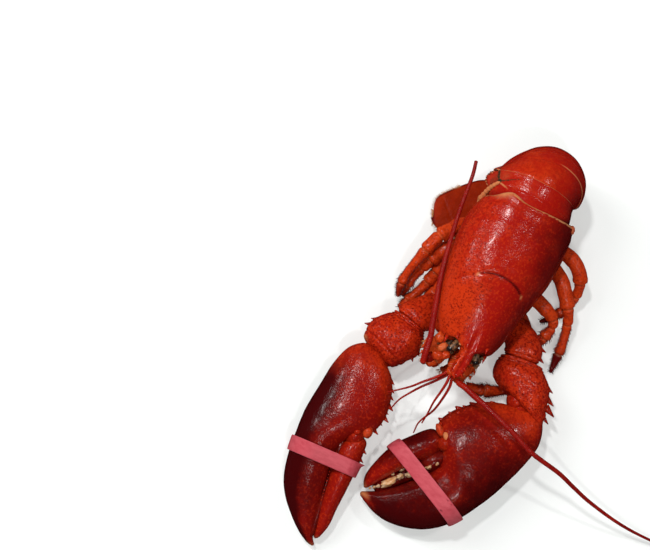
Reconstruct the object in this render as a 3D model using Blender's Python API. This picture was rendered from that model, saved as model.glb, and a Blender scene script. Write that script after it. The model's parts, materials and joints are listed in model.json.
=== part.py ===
"""A whole cooked lobster lying on its folded tail, with a rubber band round each claw.

The head points to -Y, the back faces +Z, and the lobster's own left side is +X. The origin is the
flat spot under the folded tail, on the surface that the lobster rests on. Lengths are written in
millimetres and turned into metres by MM.
"""

import math

import bmesh
import bpy
from mathutils import Matrix, Vector

MM = 0.001

# Driving dimensions, in millimetres.
CARAPACE_LENGTH = 105.0        # hind margin to the tip of the rostrum
CARAPACE_TOP = 45.0            # height of the back above the trunk's axis
TRUNK_HEIGHT = 22.0            # height of the trunk's axis above the surface, at the hind margin
TRUNK_START = -20.0            # the hind margin's place along Y
TRUNK_ROLL = 13.0              # degrees, the back leans to the lobster's left
TRUNK_PITCH = 4.0              # degrees, head down
TAIL_RADIUS = 33.0             # of the curl, at the outside of the tail's back
TAIL_STRAIGHT = 18.0           # of the tail's back before it starts to curl
TAIL_THICKNESS = 30.0          # back to belly
BAND_WIDTH = 9.5               # of each rubber band
BAND_THICKNESS = 1.2
CRUSHER_LENGTH = 114.5         # wrist to tip of the fixed finger
CUTTER_LENGTH = 122.8
EYE_RADIUS = 2.7
GAP = 0.35                     # between neighbouring solids

RED = (0.52, 0.035, 0.012, 1.0)
DARK_RED = (0.28, 0.014, 0.010, 1.0)
ORANGE = (0.62, 0.11, 0.02, 1.0)
PINK_RUBBER = (0.60, 0.055, 0.085, 1.0)
BLACK = (0.012, 0.010, 0.009, 1.0)


def mm(x, y, z):
    """A point given in millimetres, in metres."""
    return Vector((x, y, z)) * MM


def clear_scene():
    for old in list(bpy.data.objects):
        bpy.data.objects.remove(old)


def finish_material(name, colour, roughness):
    """A plain wet-shell or rubber finish."""
    material = bpy.data.materials.new(name)
    material.use_nodes = True
    shader = material.node_tree.nodes["Principled BSDF"]
    shader.inputs["Base Color"].default_value = colour
    shader.inputs["Roughness"].default_value = roughness
    shader.inputs["Metallic"].default_value = 0.0
    material.diffuse_color = colour
    return material


def blend_table(table, t):
    """Reads a table of (t, value, ...) rows at t, along a smooth curve through its rows."""
    if t <= table[0][0]:
        return list(table[0][1:])
    for i in range(len(table) - 1):
        low, high = table[i], table[i + 1]
        if t <= high[0]:
            before = table[max(i - 1, 0)]
            after = table[min(i + 2, len(table) - 1)]
            span = high[0] - low[0]
            f = (t - low[0]) / span
            row = []
            for k in range(1, len(low)):
                slope_low = (high[k] - before[k]) / max(high[0] - before[0], 1e-9) * span
                slope_high = (after[k] - low[k]) / max(after[0] - low[0], 1e-9) * span
                row.append(
                    (2 * f**3 - 3 * f**2 + 1) * low[k]
                    + (f**3 - 2 * f**2 + f) * slope_low
                    + (-2 * f**3 + 3 * f**2) * high[k]
                    + (f**3 - f**2) * slope_high
                )
            return row
    return list(table[-1][1:])


def superellipse(sides, power=1.0):
    """Points round a unit superellipse. A power under 1 squares it, over 1 pinches it."""
    points = []
    for i in range(sides):
        a = 2 * math.pi * i / sides
        c, s = math.cos(a), math.sin(a)
        points.append((math.copysign(abs(c) ** power, c), math.copysign(abs(s) ** power, s)))
    return points


def link(name, mesh, material, parent=None):
    obj = bpy.data.objects.new(name, mesh)
    obj.data.materials.append(material)
    bpy.data.collections["cooked_lobster"].objects.link(obj)
    obj.parent = parent
    return obj


def loft(name, rings, material, parent=None, closed=False, smooth_angle=40.0):
    """A solid through rings of equal count. A closed loft joins its last ring to its first."""
    bm = bmesh.new()
    made = [[bm.verts.new(p) for p in ring] for ring in rings]
    pairs = list(zip(made, made[1:]))
    if closed:
        pairs.append((made[-1], made[0]))
    for a, b in pairs:
        for i in range(len(a)):
            j = (i + 1) % len(a)
            bm.faces.new((a[i], a[j], b[j], b[i]))
    if not closed:
        bm.faces.new(list(reversed(made[0])))
        bm.faces.new(made[-1])
    bmesh.ops.recalc_face_normals(bm, faces=bm.faces)
    mesh = bpy.data.meshes.new(name)
    bm.to_mesh(mesh)
    bm.free()
    mesh.shade_smooth()
    mesh.set_sharp_from_angle(angle=math.radians(smooth_angle))
    return link(name, mesh, material, parent)


def curve_through(points, per_span=3):
    """A smooth centreline through hand-placed points, in metres."""
    pts = [Vector(p) for p in points]
    line = []
    for i in range(len(pts) - 1):
        p0 = pts[max(i - 1, 0)]
        p1, p2 = pts[i], pts[i + 1]
        p3 = pts[min(i + 2, len(pts) - 1)]
        for k in range(per_span):
            t = k / per_span
            line.append(
                0.5 * (2 * p1 + (p2 - p0) * t + (2 * p0 - 5 * p1 + 4 * p2 - p3) * t**2
                       + (3 * p1 - p0 - 3 * p2 + p3) * t**3)
            )
    line.append(pts[-1])
    return line


def lengths_along(line):
    total = [0.0]
    for a, b in zip(line, line[1:]):
        total.append(total[-1] + (b - a).length)
    return [d / total[-1] for d in total]


# ---------------------------------------------------------------- trunk

CARAPACE_TABLE = [
    # share of length, half width, back's height, lower edge's height
    (0.00, 27.5, 43.0, 8.0),
    (0.05, 29.8, 44.6, 4.5),
    (0.15, 31.2, 45.6, 2.5),
    (0.30, 31.0, 45.8, 2.0),
    (0.45, 28.9, 45.0, 2.0),
    (0.60, 25.6, 42.8, 2.0),
    (0.70, 22.8, 40.6, 2.4),
    (0.75, 20.6, 39.4, 3.2),
    (0.785, 18.4, 38.7, 5.0),
    (0.805, 15.6, 38.3, 9.0),
    (0.82, 11.0, 38.0, 18.0),
    (0.834, 5.2, 37.8, 27.0),
    (0.87, 4.3, 37.4, 30.6),
    (0.93, 4.0, 37.0, 32.2),
    (0.975, 3.0, 37.2, 34.0),
    (1.00, 1.2, 37.6, 36.0),
]
HEAD_LEAN = [(0.0, 0.0), (0.55, 0.0), (0.85, 3.2), (1.0, 1.8)]
SIDE_HEIGHT = 0.42             # the widest level, as a share of the height
LOWER_TUCK = 0.62              # the lower edge's width as a share of the widest


def trunk_matrix():
    """The trunk's own axes: -Y to the head, +Z out of the back, rolled and pitched in the row."""
    place = Matrix.Translation(mm(-1.8, TRUNK_START, TRUNK_HEIGHT))
    roll = Matrix.Rotation(math.radians(TRUNK_ROLL), 4, "Y")
    pitch = Matrix.Rotation(math.radians(TRUNK_PITCH), 4, "X")
    return place @ roll @ pitch


def trunk_point(x, y, z):
    """A point given on the trunk's own axes, in millimetres, in the row."""
    return trunk_matrix() @ mm(x, y, z)


def carapace_ring(share, sides):
    half, top, bottom = blend_table(CARAPACE_TABLE, share)
    side_level = bottom + (top - bottom) * SIDE_HEIGHT
    lean = blend_table(HEAD_LEAN, share)[0]
    ring = []
    for i in range(sides):
        a = 2 * math.pi * i / sides
        c, s = math.cos(a), math.sin(a)
        if s >= 0:
            x = half * math.copysign(abs(c) ** 0.92, c)
            z = side_level + (top - side_level) * s**0.95
        else:
            tuck = 1 - (1 - LOWER_TUCK) * abs(s) ** 1.6
            x = half * math.copysign(abs(c) ** 0.55, c) * tuck
            z = side_level - (side_level - bottom) * abs(s) ** 0.75
        ring.append(mm(x + lean * z / top, -CARAPACE_LENGTH * share, z))
    return ring


def carapace(material, trunk):
    """The head and thorax shell, from its hind margin to the pointed rostrum."""
    shares = [0.0, 0.05, 0.13, 0.22, 0.31, 0.4, 0.48, 0.56, 0.64, 0.7, 0.75, 0.785,
              0.805, 0.82, 0.834, 0.87, 0.93, 0.975, 1.0]
    return loft("carapace", [carapace_ring(s, 24) for s in shares], material, trunk)


def breastplate(material, trunk):
    """The keel under the thorax that the legs spring from."""
    table = [(0.0, 9.0, 3.0), (0.15, 12.5, 5.0), (0.5, 13.0, 5.6), (0.85, 10.0, 5.0), (1.0, 7.0, 3.4)]
    start, end = -10.0, -78.0
    rings = []
    for k in range(8):
        share = k / 7
        half, deep = blend_table(table, share)
        y = start + (end - start) * share
        ceiling = blend_table(CARAPACE_TABLE, -y / CARAPACE_LENGTH)[2] - GAP - 0.3
        ring = []
        for x, z in superellipse(12, 0.7):
            ring.append(mm(x * half, y, ceiling - deep / 2 + z * deep / 2))
        rings.append(ring)
    return loft("breastplate", rings, material, trunk)


def eye(name, side, material, trunk):
    """An eye on the end of its short stalk, in the notch beside the rostrum."""
    bm = bmesh.new()
    bmesh.ops.create_uvsphere(bm, u_segments=12, v_segments=8, radius=EYE_RADIUS * MM)
    bmesh.ops.scale(bm, vec=(1.0, 1.25, 0.95), verts=bm.verts)
    mesh = bpy.data.meshes.new(name)
    bm.to_mesh(mesh)
    bm.free()
    mesh.shade_smooth()
    obj = link(name, mesh, material, trunk)
    obj.location = mm(2.4 + side * 9.0, -91.4, 31.2)
    obj.rotation_euler.z = math.radians(side * 30)
    return obj


# ---------------------------------------------------------------- tail

SOMITE_BREAKS = [0.4, 6.5, 16.5, 42.5, 66.0, 87.0, 124.0]
TAIL_HALF_WIDTHS = [24.5, 26.0, 26.4, 25.4, 23.8, 22.0, 18.5]
CURL_CENTRE_Y = -2.0
CURL_SINK = 2.6                # how far the curl is pressed flat on the surface


def tail_frame(distance):
    """Place on the tail's back, and its outward and sideways axes, at a distance along the back."""
    if distance < TAIL_STRAIGHT:
        y, z, angle = TRUNK_START + distance, 2 * TAIL_RADIUS, 0.0
    else:
        angle = (distance - TAIL_STRAIGHT) / TAIL_RADIUS
        y = CURL_CENTRE_Y + TAIL_RADIUS * math.sin(angle)
        z = TAIL_RADIUS + TAIL_RADIUS * math.cos(angle) - CURL_SINK * min(1.0, angle / math.pi)
    turn = min(1.0, angle / math.radians(150))
    roll = math.radians(TRUNK_ROLL) * (1 - turn)
    shift = 6.8 + 3.6 * math.sin(math.pi * min(1.0, turn * 1.3)) - 9.2 * turn**2
    out = Vector((0, math.sin(angle), math.cos(angle)))
    across = Vector((1, 0, 0))
    twist = Matrix.Rotation(roll, 3, "Y")
    return mm(shift, y, z), (twist @ out).normalized(), (twist @ across).normalized()


def somite_ring(distance, half, thickness, sides=18):
    """An arched cross-section of the tail: round back, flat belly, edges drawn down in flaps."""
    place, out, across = tail_frame(distance)
    ring = []
    for x, z in superellipse(sides):
        if z >= 0:
            depth = (1 - z) * thickness * 0.84
        else:
            depth = thickness * (0.84 + 0.16 * abs(z) ** 0.5)
        pull = 1.0 if z >= 0 else 0.86 + 0.14 * (1 - abs(z))
        point = place + across * x * half * pull * MM - out * depth * MM
        point.z = max(point.z, 0.0)
        ring.append(point)
    return ring


def tail_segments(material):
    """The six rings of the tail, curled down and under the trunk."""
    made = []
    for i in range(6):
        start, end = SOMITE_BREAKS[i] + GAP / 2, SOMITE_BREAKS[i + 1] - GAP / 2
        steps = 2 if i < 2 else 4 if i < 5 else 8
        rings = []
        for k in range(steps + 1):
            share = k / steps
            half = TAIL_HALF_WIDTHS[i] * (1 - share) + TAIL_HALF_WIDTHS[i + 1] * share
            thickness = TAIL_THICKNESS - 12.0 * max(0, (start + (end - start) * share - 66) / 58)
            rings.append(somite_ring(start + (end - start) * share, half, thickness))
        made.append(loft(f"tail_segment_{i + 1}", rings, material))
    return made


def fan_blade(name, root, heading, length, half_width, material, lift, thickness=1.8):
    """A flat blade of the tail fan with a rounded far edge, lying just over the surface."""
    along = Vector((math.sin(heading), -math.cos(heading), 0))
    across = Vector((math.cos(heading), math.sin(heading), 0))
    table = [(0.0, 0.45), (0.2, 0.72), (0.5, 0.98), (0.75, 1.0), (0.9, 0.82), (1.0, 0.45)]
    rings = []
    for k in range(7):
        share = k / 6
        half = blend_table(table, share)[0] * half_width
        thick = thickness * (1.0 - 0.45 * share)
        centre = root + along * length * share + Vector((0, 0, lift))
        rings.append([(centre + across * x * half + Vector((0, 0, z * thick / 2))) * MM
                      for x, z in superellipse(10, 0.8)])
    return loft(name, rings, material)


def tail_fan(material):
    """Telson and four uropods, turned to the lobster's right and lying on the surface."""
    blades = (
        # name, root x, root y, heading in degrees, length, half width, height
        ("telson", -4.0, -5.6, -12, 30.0, 11.5, 4.0),
        ("uropod_inner_right", -12.0, -7.0, -30, 37.0, 10.5, 6.6),
        ("uropod_outer_right", -15.6, -9.2, -49, 41.0, 12.4, 9.0),
        ("uropod_inner_left", 5.0, -7.0, 4, 34.0, 10.5, 1.4),
        ("uropod_outer_left", 8.5, -6.4, 20, 34.0, 11.5, 6.6),
    )
    for name, x, y, heading, length, half, lift in blades:
        fan_blade(name, Vector((x, y, 0)), math.radians(heading), length, half, material, lift)


# ---------------------------------------------------------------- claws

CRUSHER_PALM = [
    # distance from the wrist, outer edge, inner edge, half thickness
    (0.0, -15.0, 3.0, 8.5),
    (6.0, -20.5, 6.5, 11.5),
    (14.0, -25.0, 12.5, 14.5),
    (24.0, -29.2, 18.0, 17.0),
    (36.0, -33.2, 20.2, 18.4),
    (48.0, -36.4, 19.8, 18.6),
    (55.0, -37.8, 15.5, 18.0),
    (59.5, -38.6, 2.5, 17.2),
    (64.0, -39.2, -4.8, 16.2),
    (74.0, -39.7, -7.4, 14.6),
    (86.0, -37.6, -7.4, 12.6),
    (97.0, -32.2, -6.2, 10.4),
    (106.0, -24.6, -4.4, 8.0),
    (111.5, -16.4, -2.2, 5.6),
    (114.5, -5.6, -1.0, 2.6),
]
CRUSHER_FINGER = [
    (60.2, 6.6, 14.8, 8.4),
    (64.0, 3.4, 16.2, 11.0),
    (72.0, 1.6, 16.9, 12.2),
    (82.0, 0.8, 16.8, 11.6),
    (92.0, 0.6, 14.2, 10.0),
    (101.0, -0.4, 10.4, 7.8),
    (107.5, -0.8, 6.6, 5.4),
    (110.8, -0.9, 2.4, 2.6),
]
CUTTER_PALM = [
    (0.0, -12.2, 6.5, 8.0),
    (6.0, -16.4, 11.8, 10.6),
    (14.0, -20.0, 17.4, 13.2),
    (24.0, -23.0, 20.0, 15.2),
    (36.0, -26.2, 20.0, 16.2),
    (46.0, -28.6, 16.4, 16.2),
    (50.5, -29.2, 11.0, 15.8),
    (54.5, -29.6, 1.5, 15.2),
    (60.0, -29.9, -2.6, 14.4),
    (74.0, -30.6, -3.4, 12.4),
    (88.0, -29.4, -3.6, 10.2),
    (100.0, -24.8, -3.4, 8.0),
    (110.0, -17.8, -3.0, 6.0),
    (118.0, -10.2, -2.0, 3.8),
    (122.8, -3.4, 0.4, 1.6),
]
CUTTER_FINGER = [
    (55.4, 4.2, 11.0, 7.4),
    (60.0, 0.6, 12.2, 9.4),
    (70.0, -2.2, 12.0, 10.0),
    (84.0, -2.6, 9.8, 8.8),
    (98.0, -2.4, 7.2, 7.0),
    (109.0, -2.0, 5.4, 4.8),
    (118.2, -1.2, 1.4, 2.0),
]


class ClawAxes:
    """A claw's own axes: distance from the wrist, inward across the claw, and up."""

    def __init__(self, wrist, tip, inward_sign, rise):
        self.wrist = Vector(wrist)
        flat = Vector((tip[0] - wrist[0], tip[1] - wrist[1], 0)).normalized()
        self.along = flat
        self.inward = Vector((flat.y, -flat.x, 0)) * inward_sign
        self.rise = rise

    def level(self, distance):
        """Height of the claw's middle plane over the surface."""
        return blend_table(self.rise, distance)[0]

    def point(self, distance, inward, up):
        flat = self.wrist + self.along * distance + self.inward * inward
        return mm(flat.x, flat.y, max(0.0, self.level(distance) + up))


CRUSHER = ClawAxes((60.0, -122.0, 0), (-13.0, -210.0, 0), 1,
                   [(0, 20.0), (14, 18.6), (30, 17.8), (50, 17.9), (75, 17.8), (95, 13.8), (114.5, 10.0)])
CUTTER = ClawAxes((-44.0, -131.0, 0), (-23.0, -252.0, 0), -1,
                  [(0, 19.0), (14, 17.0), (30, 15.5), (46, 15.7), (70, 15.8), (100, 11.4), (122.8, 7.0)])


def claw_piece(name, axes, table, distances, material, sides=18, power=0.92):
    """A palm or finger: oval sections between two edge lines, with a flat where it rests."""
    rings = []
    for d in distances:
        low, high, half = blend_table(table, d)
        middle, reach = (low + high) / 2, (high - low) / 2
        rings.append([axes.point(d, middle + x * reach, z * half) for x, z in superellipse(sides, power)])
    return loft(name, rings, material)


def claws(material):
    """Palm with fixed finger, and the movable finger, of each claw."""
    palm_steps = [0, 6, 14, 24, 36, 48, 55, 59.5, 64, 74, 86, 97, 106, 111.5, 114.5]
    finger_steps = [60.2, 64, 72, 82, 92, 101, 107.5, 110.8]
    claw_piece("crusher_palm", CRUSHER, CRUSHER_PALM, palm_steps, material)
    claw_piece("crusher_finger", CRUSHER, CRUSHER_FINGER, finger_steps, material, sides=12)
    palm_steps = [0, 6, 14, 24, 36, 46, 50.5, 54.5, 60, 74, 88, 100, 110, 118, 122.8]
    finger_steps = [55.4, 60, 70, 84, 98, 109, 118.2]
    claw_piece("cutter_palm", CUTTER, CUTTER_PALM, palm_steps, material)
    claw_piece("cutter_finger", CUTTER, CUTTER_FINGER, finger_steps, material, sides=12)


def section_edge(axes, table, power, shift, slant):
    """Points round a claw piece where a slanting plane cuts it: inward distance and height."""
    points = []
    for step in range(-180, 101):
        inward = step / 4
        d = slant(inward) + shift
        if not table[0][0] < d < table[-1][0]:
            continue
        low, high, half = blend_table(table, d)
        if not low <= inward <= high:
            continue
        x = abs(2 * (inward - low) / (high - low) - 1)
        z = (1 - min(1.0, x ** (2 / power))) ** (power / 2) * half
        points.append(Vector((inward, axes.level(d) + z)))
        points.append(Vector((inward, max(0.0, axes.level(d) - z))))
    return points


def band(name, axes, tables, slant, material, directions=34):
    """A rubber band stretched tight round a claw's two fingers: it bridges every hollow."""
    half = BAND_WIDTH / 2
    inner, outer = GAP + 0.25, GAP + 0.25 + BAND_THICKNESS

    def ring(shift, grow):
        points = []
        for table in tables:
            points += section_edge(axes, table, 0.92, shift, slant)
        made = []
        for k in range(directions):
            a = 2 * math.pi * k / directions
            facing = Vector((math.cos(a), math.sin(a)))
            far = max(points, key=lambda p: p.dot(facing)) + facing * grow
            d = slant(far.x) + shift
            flat = axes.wrist + axes.along * d + axes.inward * far.x
            made.append(mm(flat.x, flat.y, far.y))
        return made

    rings = [ring(-half, inner), ring(-half, outer), ring(half, outer), ring(half, inner)]
    return loft(name, rings, material, closed=True, smooth_angle=50)


# ---------------------------------------------------------------- arms, legs and feelers

def lump(name, sections, material, sides=14, power=0.9):
    """A solid through oval sections: (x, y, z, heading in degrees, half width, half height)."""
    rings = []
    for x, y, z, heading, half, rise in sections:
        across = Vector((math.cos(math.radians(heading)), math.sin(math.radians(heading)), 0))
        rings.append([mm(*(Vector((x, y, z)) + across * c * half + Vector((0, 0, s * rise))))
                      for c, s in superellipse(sides, power)])
    return loft(name, rings, material)


def arms(material):
    """The two arm joints between the thorax and each claw's wrist. Heading 0 faces +Y or -Y."""
    lump("arm_root_left", [
        (11.8, -81.0, 12.6, 84, 5.0, 4.4),
        (17.0, -79.6, 12.0, 88, 6.4, 5.8),
        (22.6, -78.2, 13.0, 84, 6.8, 6.4),
    ], material)
    lump("arm_left", [
        (23.6, -78.0, 13.4, 80, 6.2, 6.0),
        (28.6, -79.4, 15.0, 64, 8.0, 7.2),
        (34.6, -82.6, 17.6, 46, 10.0, 8.4),
        (38.6, -87.4, 19.4, 28, 11.2, 9.0),
        (40.2, -92.0, 20.4, 12, 11.6, 8.8),
        (40.6, -95.0, 20.8, 6, 9.4, 7.2),
    ], material)
    lump("wrist_left", [
        (41.2, -96.6, 21.0, 6, 10.0, 7.8),
        (42.6, -101.0, 21.4, 8, 14.6, 11.6),
        (45.8, -107.2, 21.6, 8, 17.4, 13.4),
        (50.4, -113.6, 21.4, 2, 15.6, 12.8),
        (56.4, -118.2, 20.8, -16, 11.6, 10.8),
        (63.0, -122.4, 20.2, -36, 9.2, 8.8),
    ], material, sides=16)
    lump("arm_root_right", [
        (-15.4, -80.0, 14.6, 104, 4.8, 4.2),
        (-17.4, -81.6, 13.4, 116, 6.0, 5.4),
        (-20.0, -84.4, 12.8, 130, 6.6, 6.0),
    ], material)
    lump("arm_right", [
        (-20.6, -85.2, 13.0, 134, 6.2, 6.0),
        (-22.2, -88.8, 14.2, 144, 8.4, 7.6),
        (-24.4, -94.0, 16.0, 152, 10.2, 8.6),
        (-28.0, -99.6, 18.0, 160, 11.6, 8.8),
        (-29.8, -103.4, 19.0, 166, 9.6, 7.2),
    ], material)
    lump("wrist_right", [
        (-30.4, -105.0, 19.2, 168, 10.2, 7.8),
        (-31.6, -109.6, 19.8, 168, 14.2, 11.6),
        (-34.0, -116.4, 20.0, 166, 17.0, 13.2),
        (-37.2, -122.8, 20.0, 170, 15.0, 12.6),
        (-40.6, -127.0, 19.4, 182, 12.2, 10.6),
        (-46.2, -129.4, 19.2, 189, 8.8, 8.2),
    ], material, sides=16)


LEG_WIDTHS = [(0.0, 3.2), (0.1, 3.5), (0.3, 3.8), (0.5, 3.7), (0.62, 2.9), (0.75, 2.6), (0.88, 2.7),
              (0.93, 2.1), (1.0, 0.7)]


def chain(names, points, knees, widths, material, sides=8, per_span=2, flat=1.0):
    """A jointed limb along one centreline, parted at the given points by a narrow gap."""
    line = curve_through(points, per_span)
    shares = lengths_along(line)
    ends = [0] + [k * per_span for k in knees] + [len(line) - 1]
    made = []
    for n, (name, first, last) in enumerate(zip(names, ends, ends[1:])):
        rings = []
        for i in range(first, last + 1):
            ahead = (line[min(i + 1, len(line) - 1)] - line[max(i - 1, 0)]).normalized()
            centre = line[i].copy()
            if i == first and n > 0:
                centre += ahead * GAP / 2 * MM
            if i == last and n < len(names) - 1:
                centre -= ahead * GAP / 2 * MM
            side = ahead.cross(Vector((0, 0, 1)))
            side = side.normalized() if side.length > 0.05 else Vector((1, 0, 0))
            rise = side.cross(ahead).normalized()
            half = blend_table(widths, shares[i])[0] * MM
            rings.append([centre + side * c * half + rise * s * half * flat
                          for c, s in superellipse(sides)])
        made.append(loft(name, rings, material))
    return made


def hip(side, y):
    """Where a leg leaves the breastplate."""
    return trunk_point(side * 15.6, y, -2.2)


LEGS = (
    # name, side, place along the trunk, visible centreline, knee
    ("leg_5_left", 1, -17.0, ((26, -29, 22), (35, -24.5, 25), (44, -27, 26), (50, -31.5, 24.5),
                              (53.6, -36, 20.5), (55.4, -41, 15.5), (55.4, -46, 10.5),
                              (53.6, -52, 6.6), (50, -59, 4.6), (43, -66, 4.4)), 5),
    ("leg_4_left", 1, -27.0, ((24, -43, 18), (33, -35.5, 22), (41.5, -40.5, 25), (47, -47, 25.4),
                              (53, -54, 22), (56.4, -58.6, 18), (59.4, -66, 12), (61.4, -75, 8),
                              (62, -82, 5.4), (62.6, -92, 2.6)), 5),
    ("leg_3_left", 1, -37.0, ((24, -57, 17), (33, -58, 22), (41, -61, 23), (48, -64, 20),
                              (50, -69, 16), (48.6, -75, 12), (47, -82, 8)), 4),
    ("leg_2_left", 1, -47.0, ((22, -67, 12), (32, -70, 6.4), (42, -82, 3.9), (48, -98, 3.4),
                              (46, -110, 3.6), (38, -117, 5.0), (27, -122, 7), (17, -124, 7)), 4),
    ("leg_5_right", -1, -17.0, ((-21, -37, 22), (-27.6, -36, 26), (-33, -43, 27.6), (-37, -49.4, 27.6),
                                (-39.6, -55.4, 26), (-41.4, -62, 24), (-43.6, -70.6, 20.4),
                                (-45.4, -79, 15.6), (-45.4, -86, 11), (-44, -92, 7)), 4),
    ("leg_4_right", -1, -27.0, ((-21, -50, 19), (-27.6, -50, 20.6), (-31.6, -56, 20.4), (-35.4, -63.6, 16.6),
                                (-39, -72, 12), (-41.6, -81, 8), (-42, -90, 4.6)), 4),
    ("leg_3_right", -1, -37.0, ((-21, -58, 16), (-26, -60, 15), (-29, -68, 10.6), (-32, -78, 6.4),
                                (-36, -88, 4.2), (-39.6, -98, 2.8)), 3),
    ("leg_2_right", -1, -47.5, ((-21.0, -69, 12.6), (-23.6, -74, 6), (-25, -84, 3.4), (-25, -96, 3.2),
                                (-24, -106, 3.2), (-21, -115, 3.2)), 3),
)


def legs(material):
    for name, side, y, path, knee in LEGS:
        points = [hip(side, y)] + [mm(*p) for p in path]
        chain((f"{name}_upper", f"{name}_lower"), points, (knee,), LEG_WIDTHS, material)


def whip(name, points, root_radius, tip_radius, material):
    """A tapering whip: a bevelled poly curve through hand-placed points."""
    line = curve_through([mm(*p) for p in points], 2)
    data = bpy.data.curves.new(name, "CURVE")
    data.dimensions = "3D"
    data.bevel_mode = "ROUND"
    data.bevel_depth = MM
    data.bevel_resolution = 1
    data.use_fill_caps = True
    spline = data.splines.new("POLY")
    spline.points.add(len(line) - 1)
    for point, place, share in zip(spline.points, line, lengths_along(line)):
        point.co = (*place, 1.0)
        point.radius = root_radius + (tip_radius - root_radius) * share
    return link(name, data, material)


def feelers(material):
    """Antennae, antennules, the scales beside them and the mouth's outer legs."""
    peduncle = [(0.0, 3.0), (0.3, 4.4), (0.7, 4.2), (1.0, 2.6)]
    chain(("antenna_base_right",),
          [trunk_point(-5.8, -90.0, 20.4), trunk_point(-8.6, -97.0, 21.4),
           trunk_point(-12.6, -104.6, 21.0)], (), peduncle, material)
    chain(("antenna_base_left",),
          [trunk_point(8.2, -90.0, 19.4), trunk_point(9.0, -98.0, 21.4),
           trunk_point(7.8, -106.0, 24.0)], (), peduncle, material)
    right = ((-13.4, -126, 44.4), (-14.8, -119, 46.8), (-16, -111, 47), (-18.4, -103, 47),
             (-21.6, -92, 47), (-25, -80, 47.6), (-28, -67, 48.6), (-30, -56, 49.6), (-32, -44, 50),
             (-33.5, -32, 50), (-34.5, -22, 50), (-35.5, -12, 50), (-37.4, -3, 50))
    left = ((11.0, -128.0, 42.4), (15, -129, 44.4), (21, -131, 45), (34, -135, 47), (49, -140, 47),
            (66, -146, 44), (87, -149, 36), (99, -152, 30), (112, -155, 24), (136, -158, 14),
            (158, -158, 6), (180, -156, 2))
    whip("antenna_right", right, 1.95, 1.1, material)
    whip("antenna_left", left, 1.9, 0.7, material)
    chain(("antennule_base",),
          [trunk_point(1.6, -89.0, 22.4), trunk_point(1.8, -96.0, 25.0), trunk_point(1.4, -103.5, 29.0)],
          (), [(0.0, 3.4), (0.5, 3.4), (1.0, 3.0)], material, flat=0.7)
    filaments = (
        ("antennule_outer_right", ((1.2, -126.6, 42.6), (-3.4, -132, 42), (-8.4, -137, 41), (-13, -142, 39),
                                   (-19, -147, 36), (-24, -151, 34))),
        ("antennule_inner_right", ((2.6, -127.0, 40.6), (-2, -133, 39), (-8, -140, 37), (-13, -147, 34),
                                   (-16, -152, 31), (-18, -159, 28))),
        ("antennule_inner_left", ((4.4, -127.2, 42.2), (4.6, -131, 42), (4, -137, 39), (3, -144, 36),
                                  (3, -151, 31), (2.6, -158, 27))),
        ("antennule_outer_left", ((6.4, -127.4, 40.4), (7.4, -132, 39), (7, -139, 36), (5.4, -148, 31),
                                  (1, -158, 24), (1, -165, 20))),
    )
    for name, path in filaments:
        whip(name, path, 0.85, 0.45, material)
    for side, word in ((1, "left"), (-1, "right")):
        chain((f"antennal_scale_{word}",),
              [trunk_point(side * 14.0, -91.0, 16.0), trunk_point(side * 15.6, -97.0, 16.0),
               trunk_point(side * 13.6, -104.5, 16.0)], (),
              [(0.0, 2.4), (0.4, 3.0), (0.8, 1.8), (1.0, 0.5)], material, flat=0.5)
        chain((f"mouth_leg_{word}",),
              [trunk_point(side * 4.0, -87.0, 1.5), trunk_point(side * 5.0, -93.0, 6.5),
               trunk_point(side * 5.0, -98.0, 10.0), trunk_point(side * 3.8, -101.5, 6.0),
               trunk_point(side * 3.0, -101.5, 0.0)], (),
              [(0.0, 2.4), (0.4, 2.6), (0.8, 2.0), (1.0, 0.9)], material)


def main():
    clear_scene()
    collection = bpy.data.collections.new("cooked_lobster")
    bpy.context.scene.collection.children.link(collection)
    shell = finish_material("shell_red", RED, 0.28)
    claw_shell = finish_material("claw_shell", DARK_RED, 0.25)
    underside = finish_material("shell_orange", ORANGE, 0.35)
    eye_black = finish_material("eye_black", BLACK, 0.12)

    trunk = bpy.data.objects.new("trunk", None)
    collection.objects.link(trunk)
    trunk.matrix_world = trunk_matrix()

    carapace(shell, trunk)
    breastplate(underside, trunk)
    for side, name in ((1, "eye_left"), (-1, "eye_right")):
        eye(name, side, eye_black, trunk)
    tail_segments(shell)
    tail_fan(shell)
    claws(claw_shell)
    rubber = finish_material("rubber_pink", PINK_RUBBER, 0.55)
    band("band_crusher", CRUSHER, (CRUSHER_PALM, CRUSHER_FINGER),
         lambda v: 70.0 + (v + 39.0) * 0.25, rubber)
    band("band_cutter", CUTTER, (CUTTER_PALM, CUTTER_FINGER),
         lambda v: 67.5 + (v + 32.5) * 0.11, rubber)
    arms(shell)
    legs(shell)
    feelers(shell)


main()
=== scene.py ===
"""A whole cooked lobster on its folded tail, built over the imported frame. Lengths here are in millimetres."""

import json
import random
from math import atan2, copysign, cos, exp, pi, radians, sin, sqrt

import bmesh
import bpy
from mathutils import Matrix, Vector, noise

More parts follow.
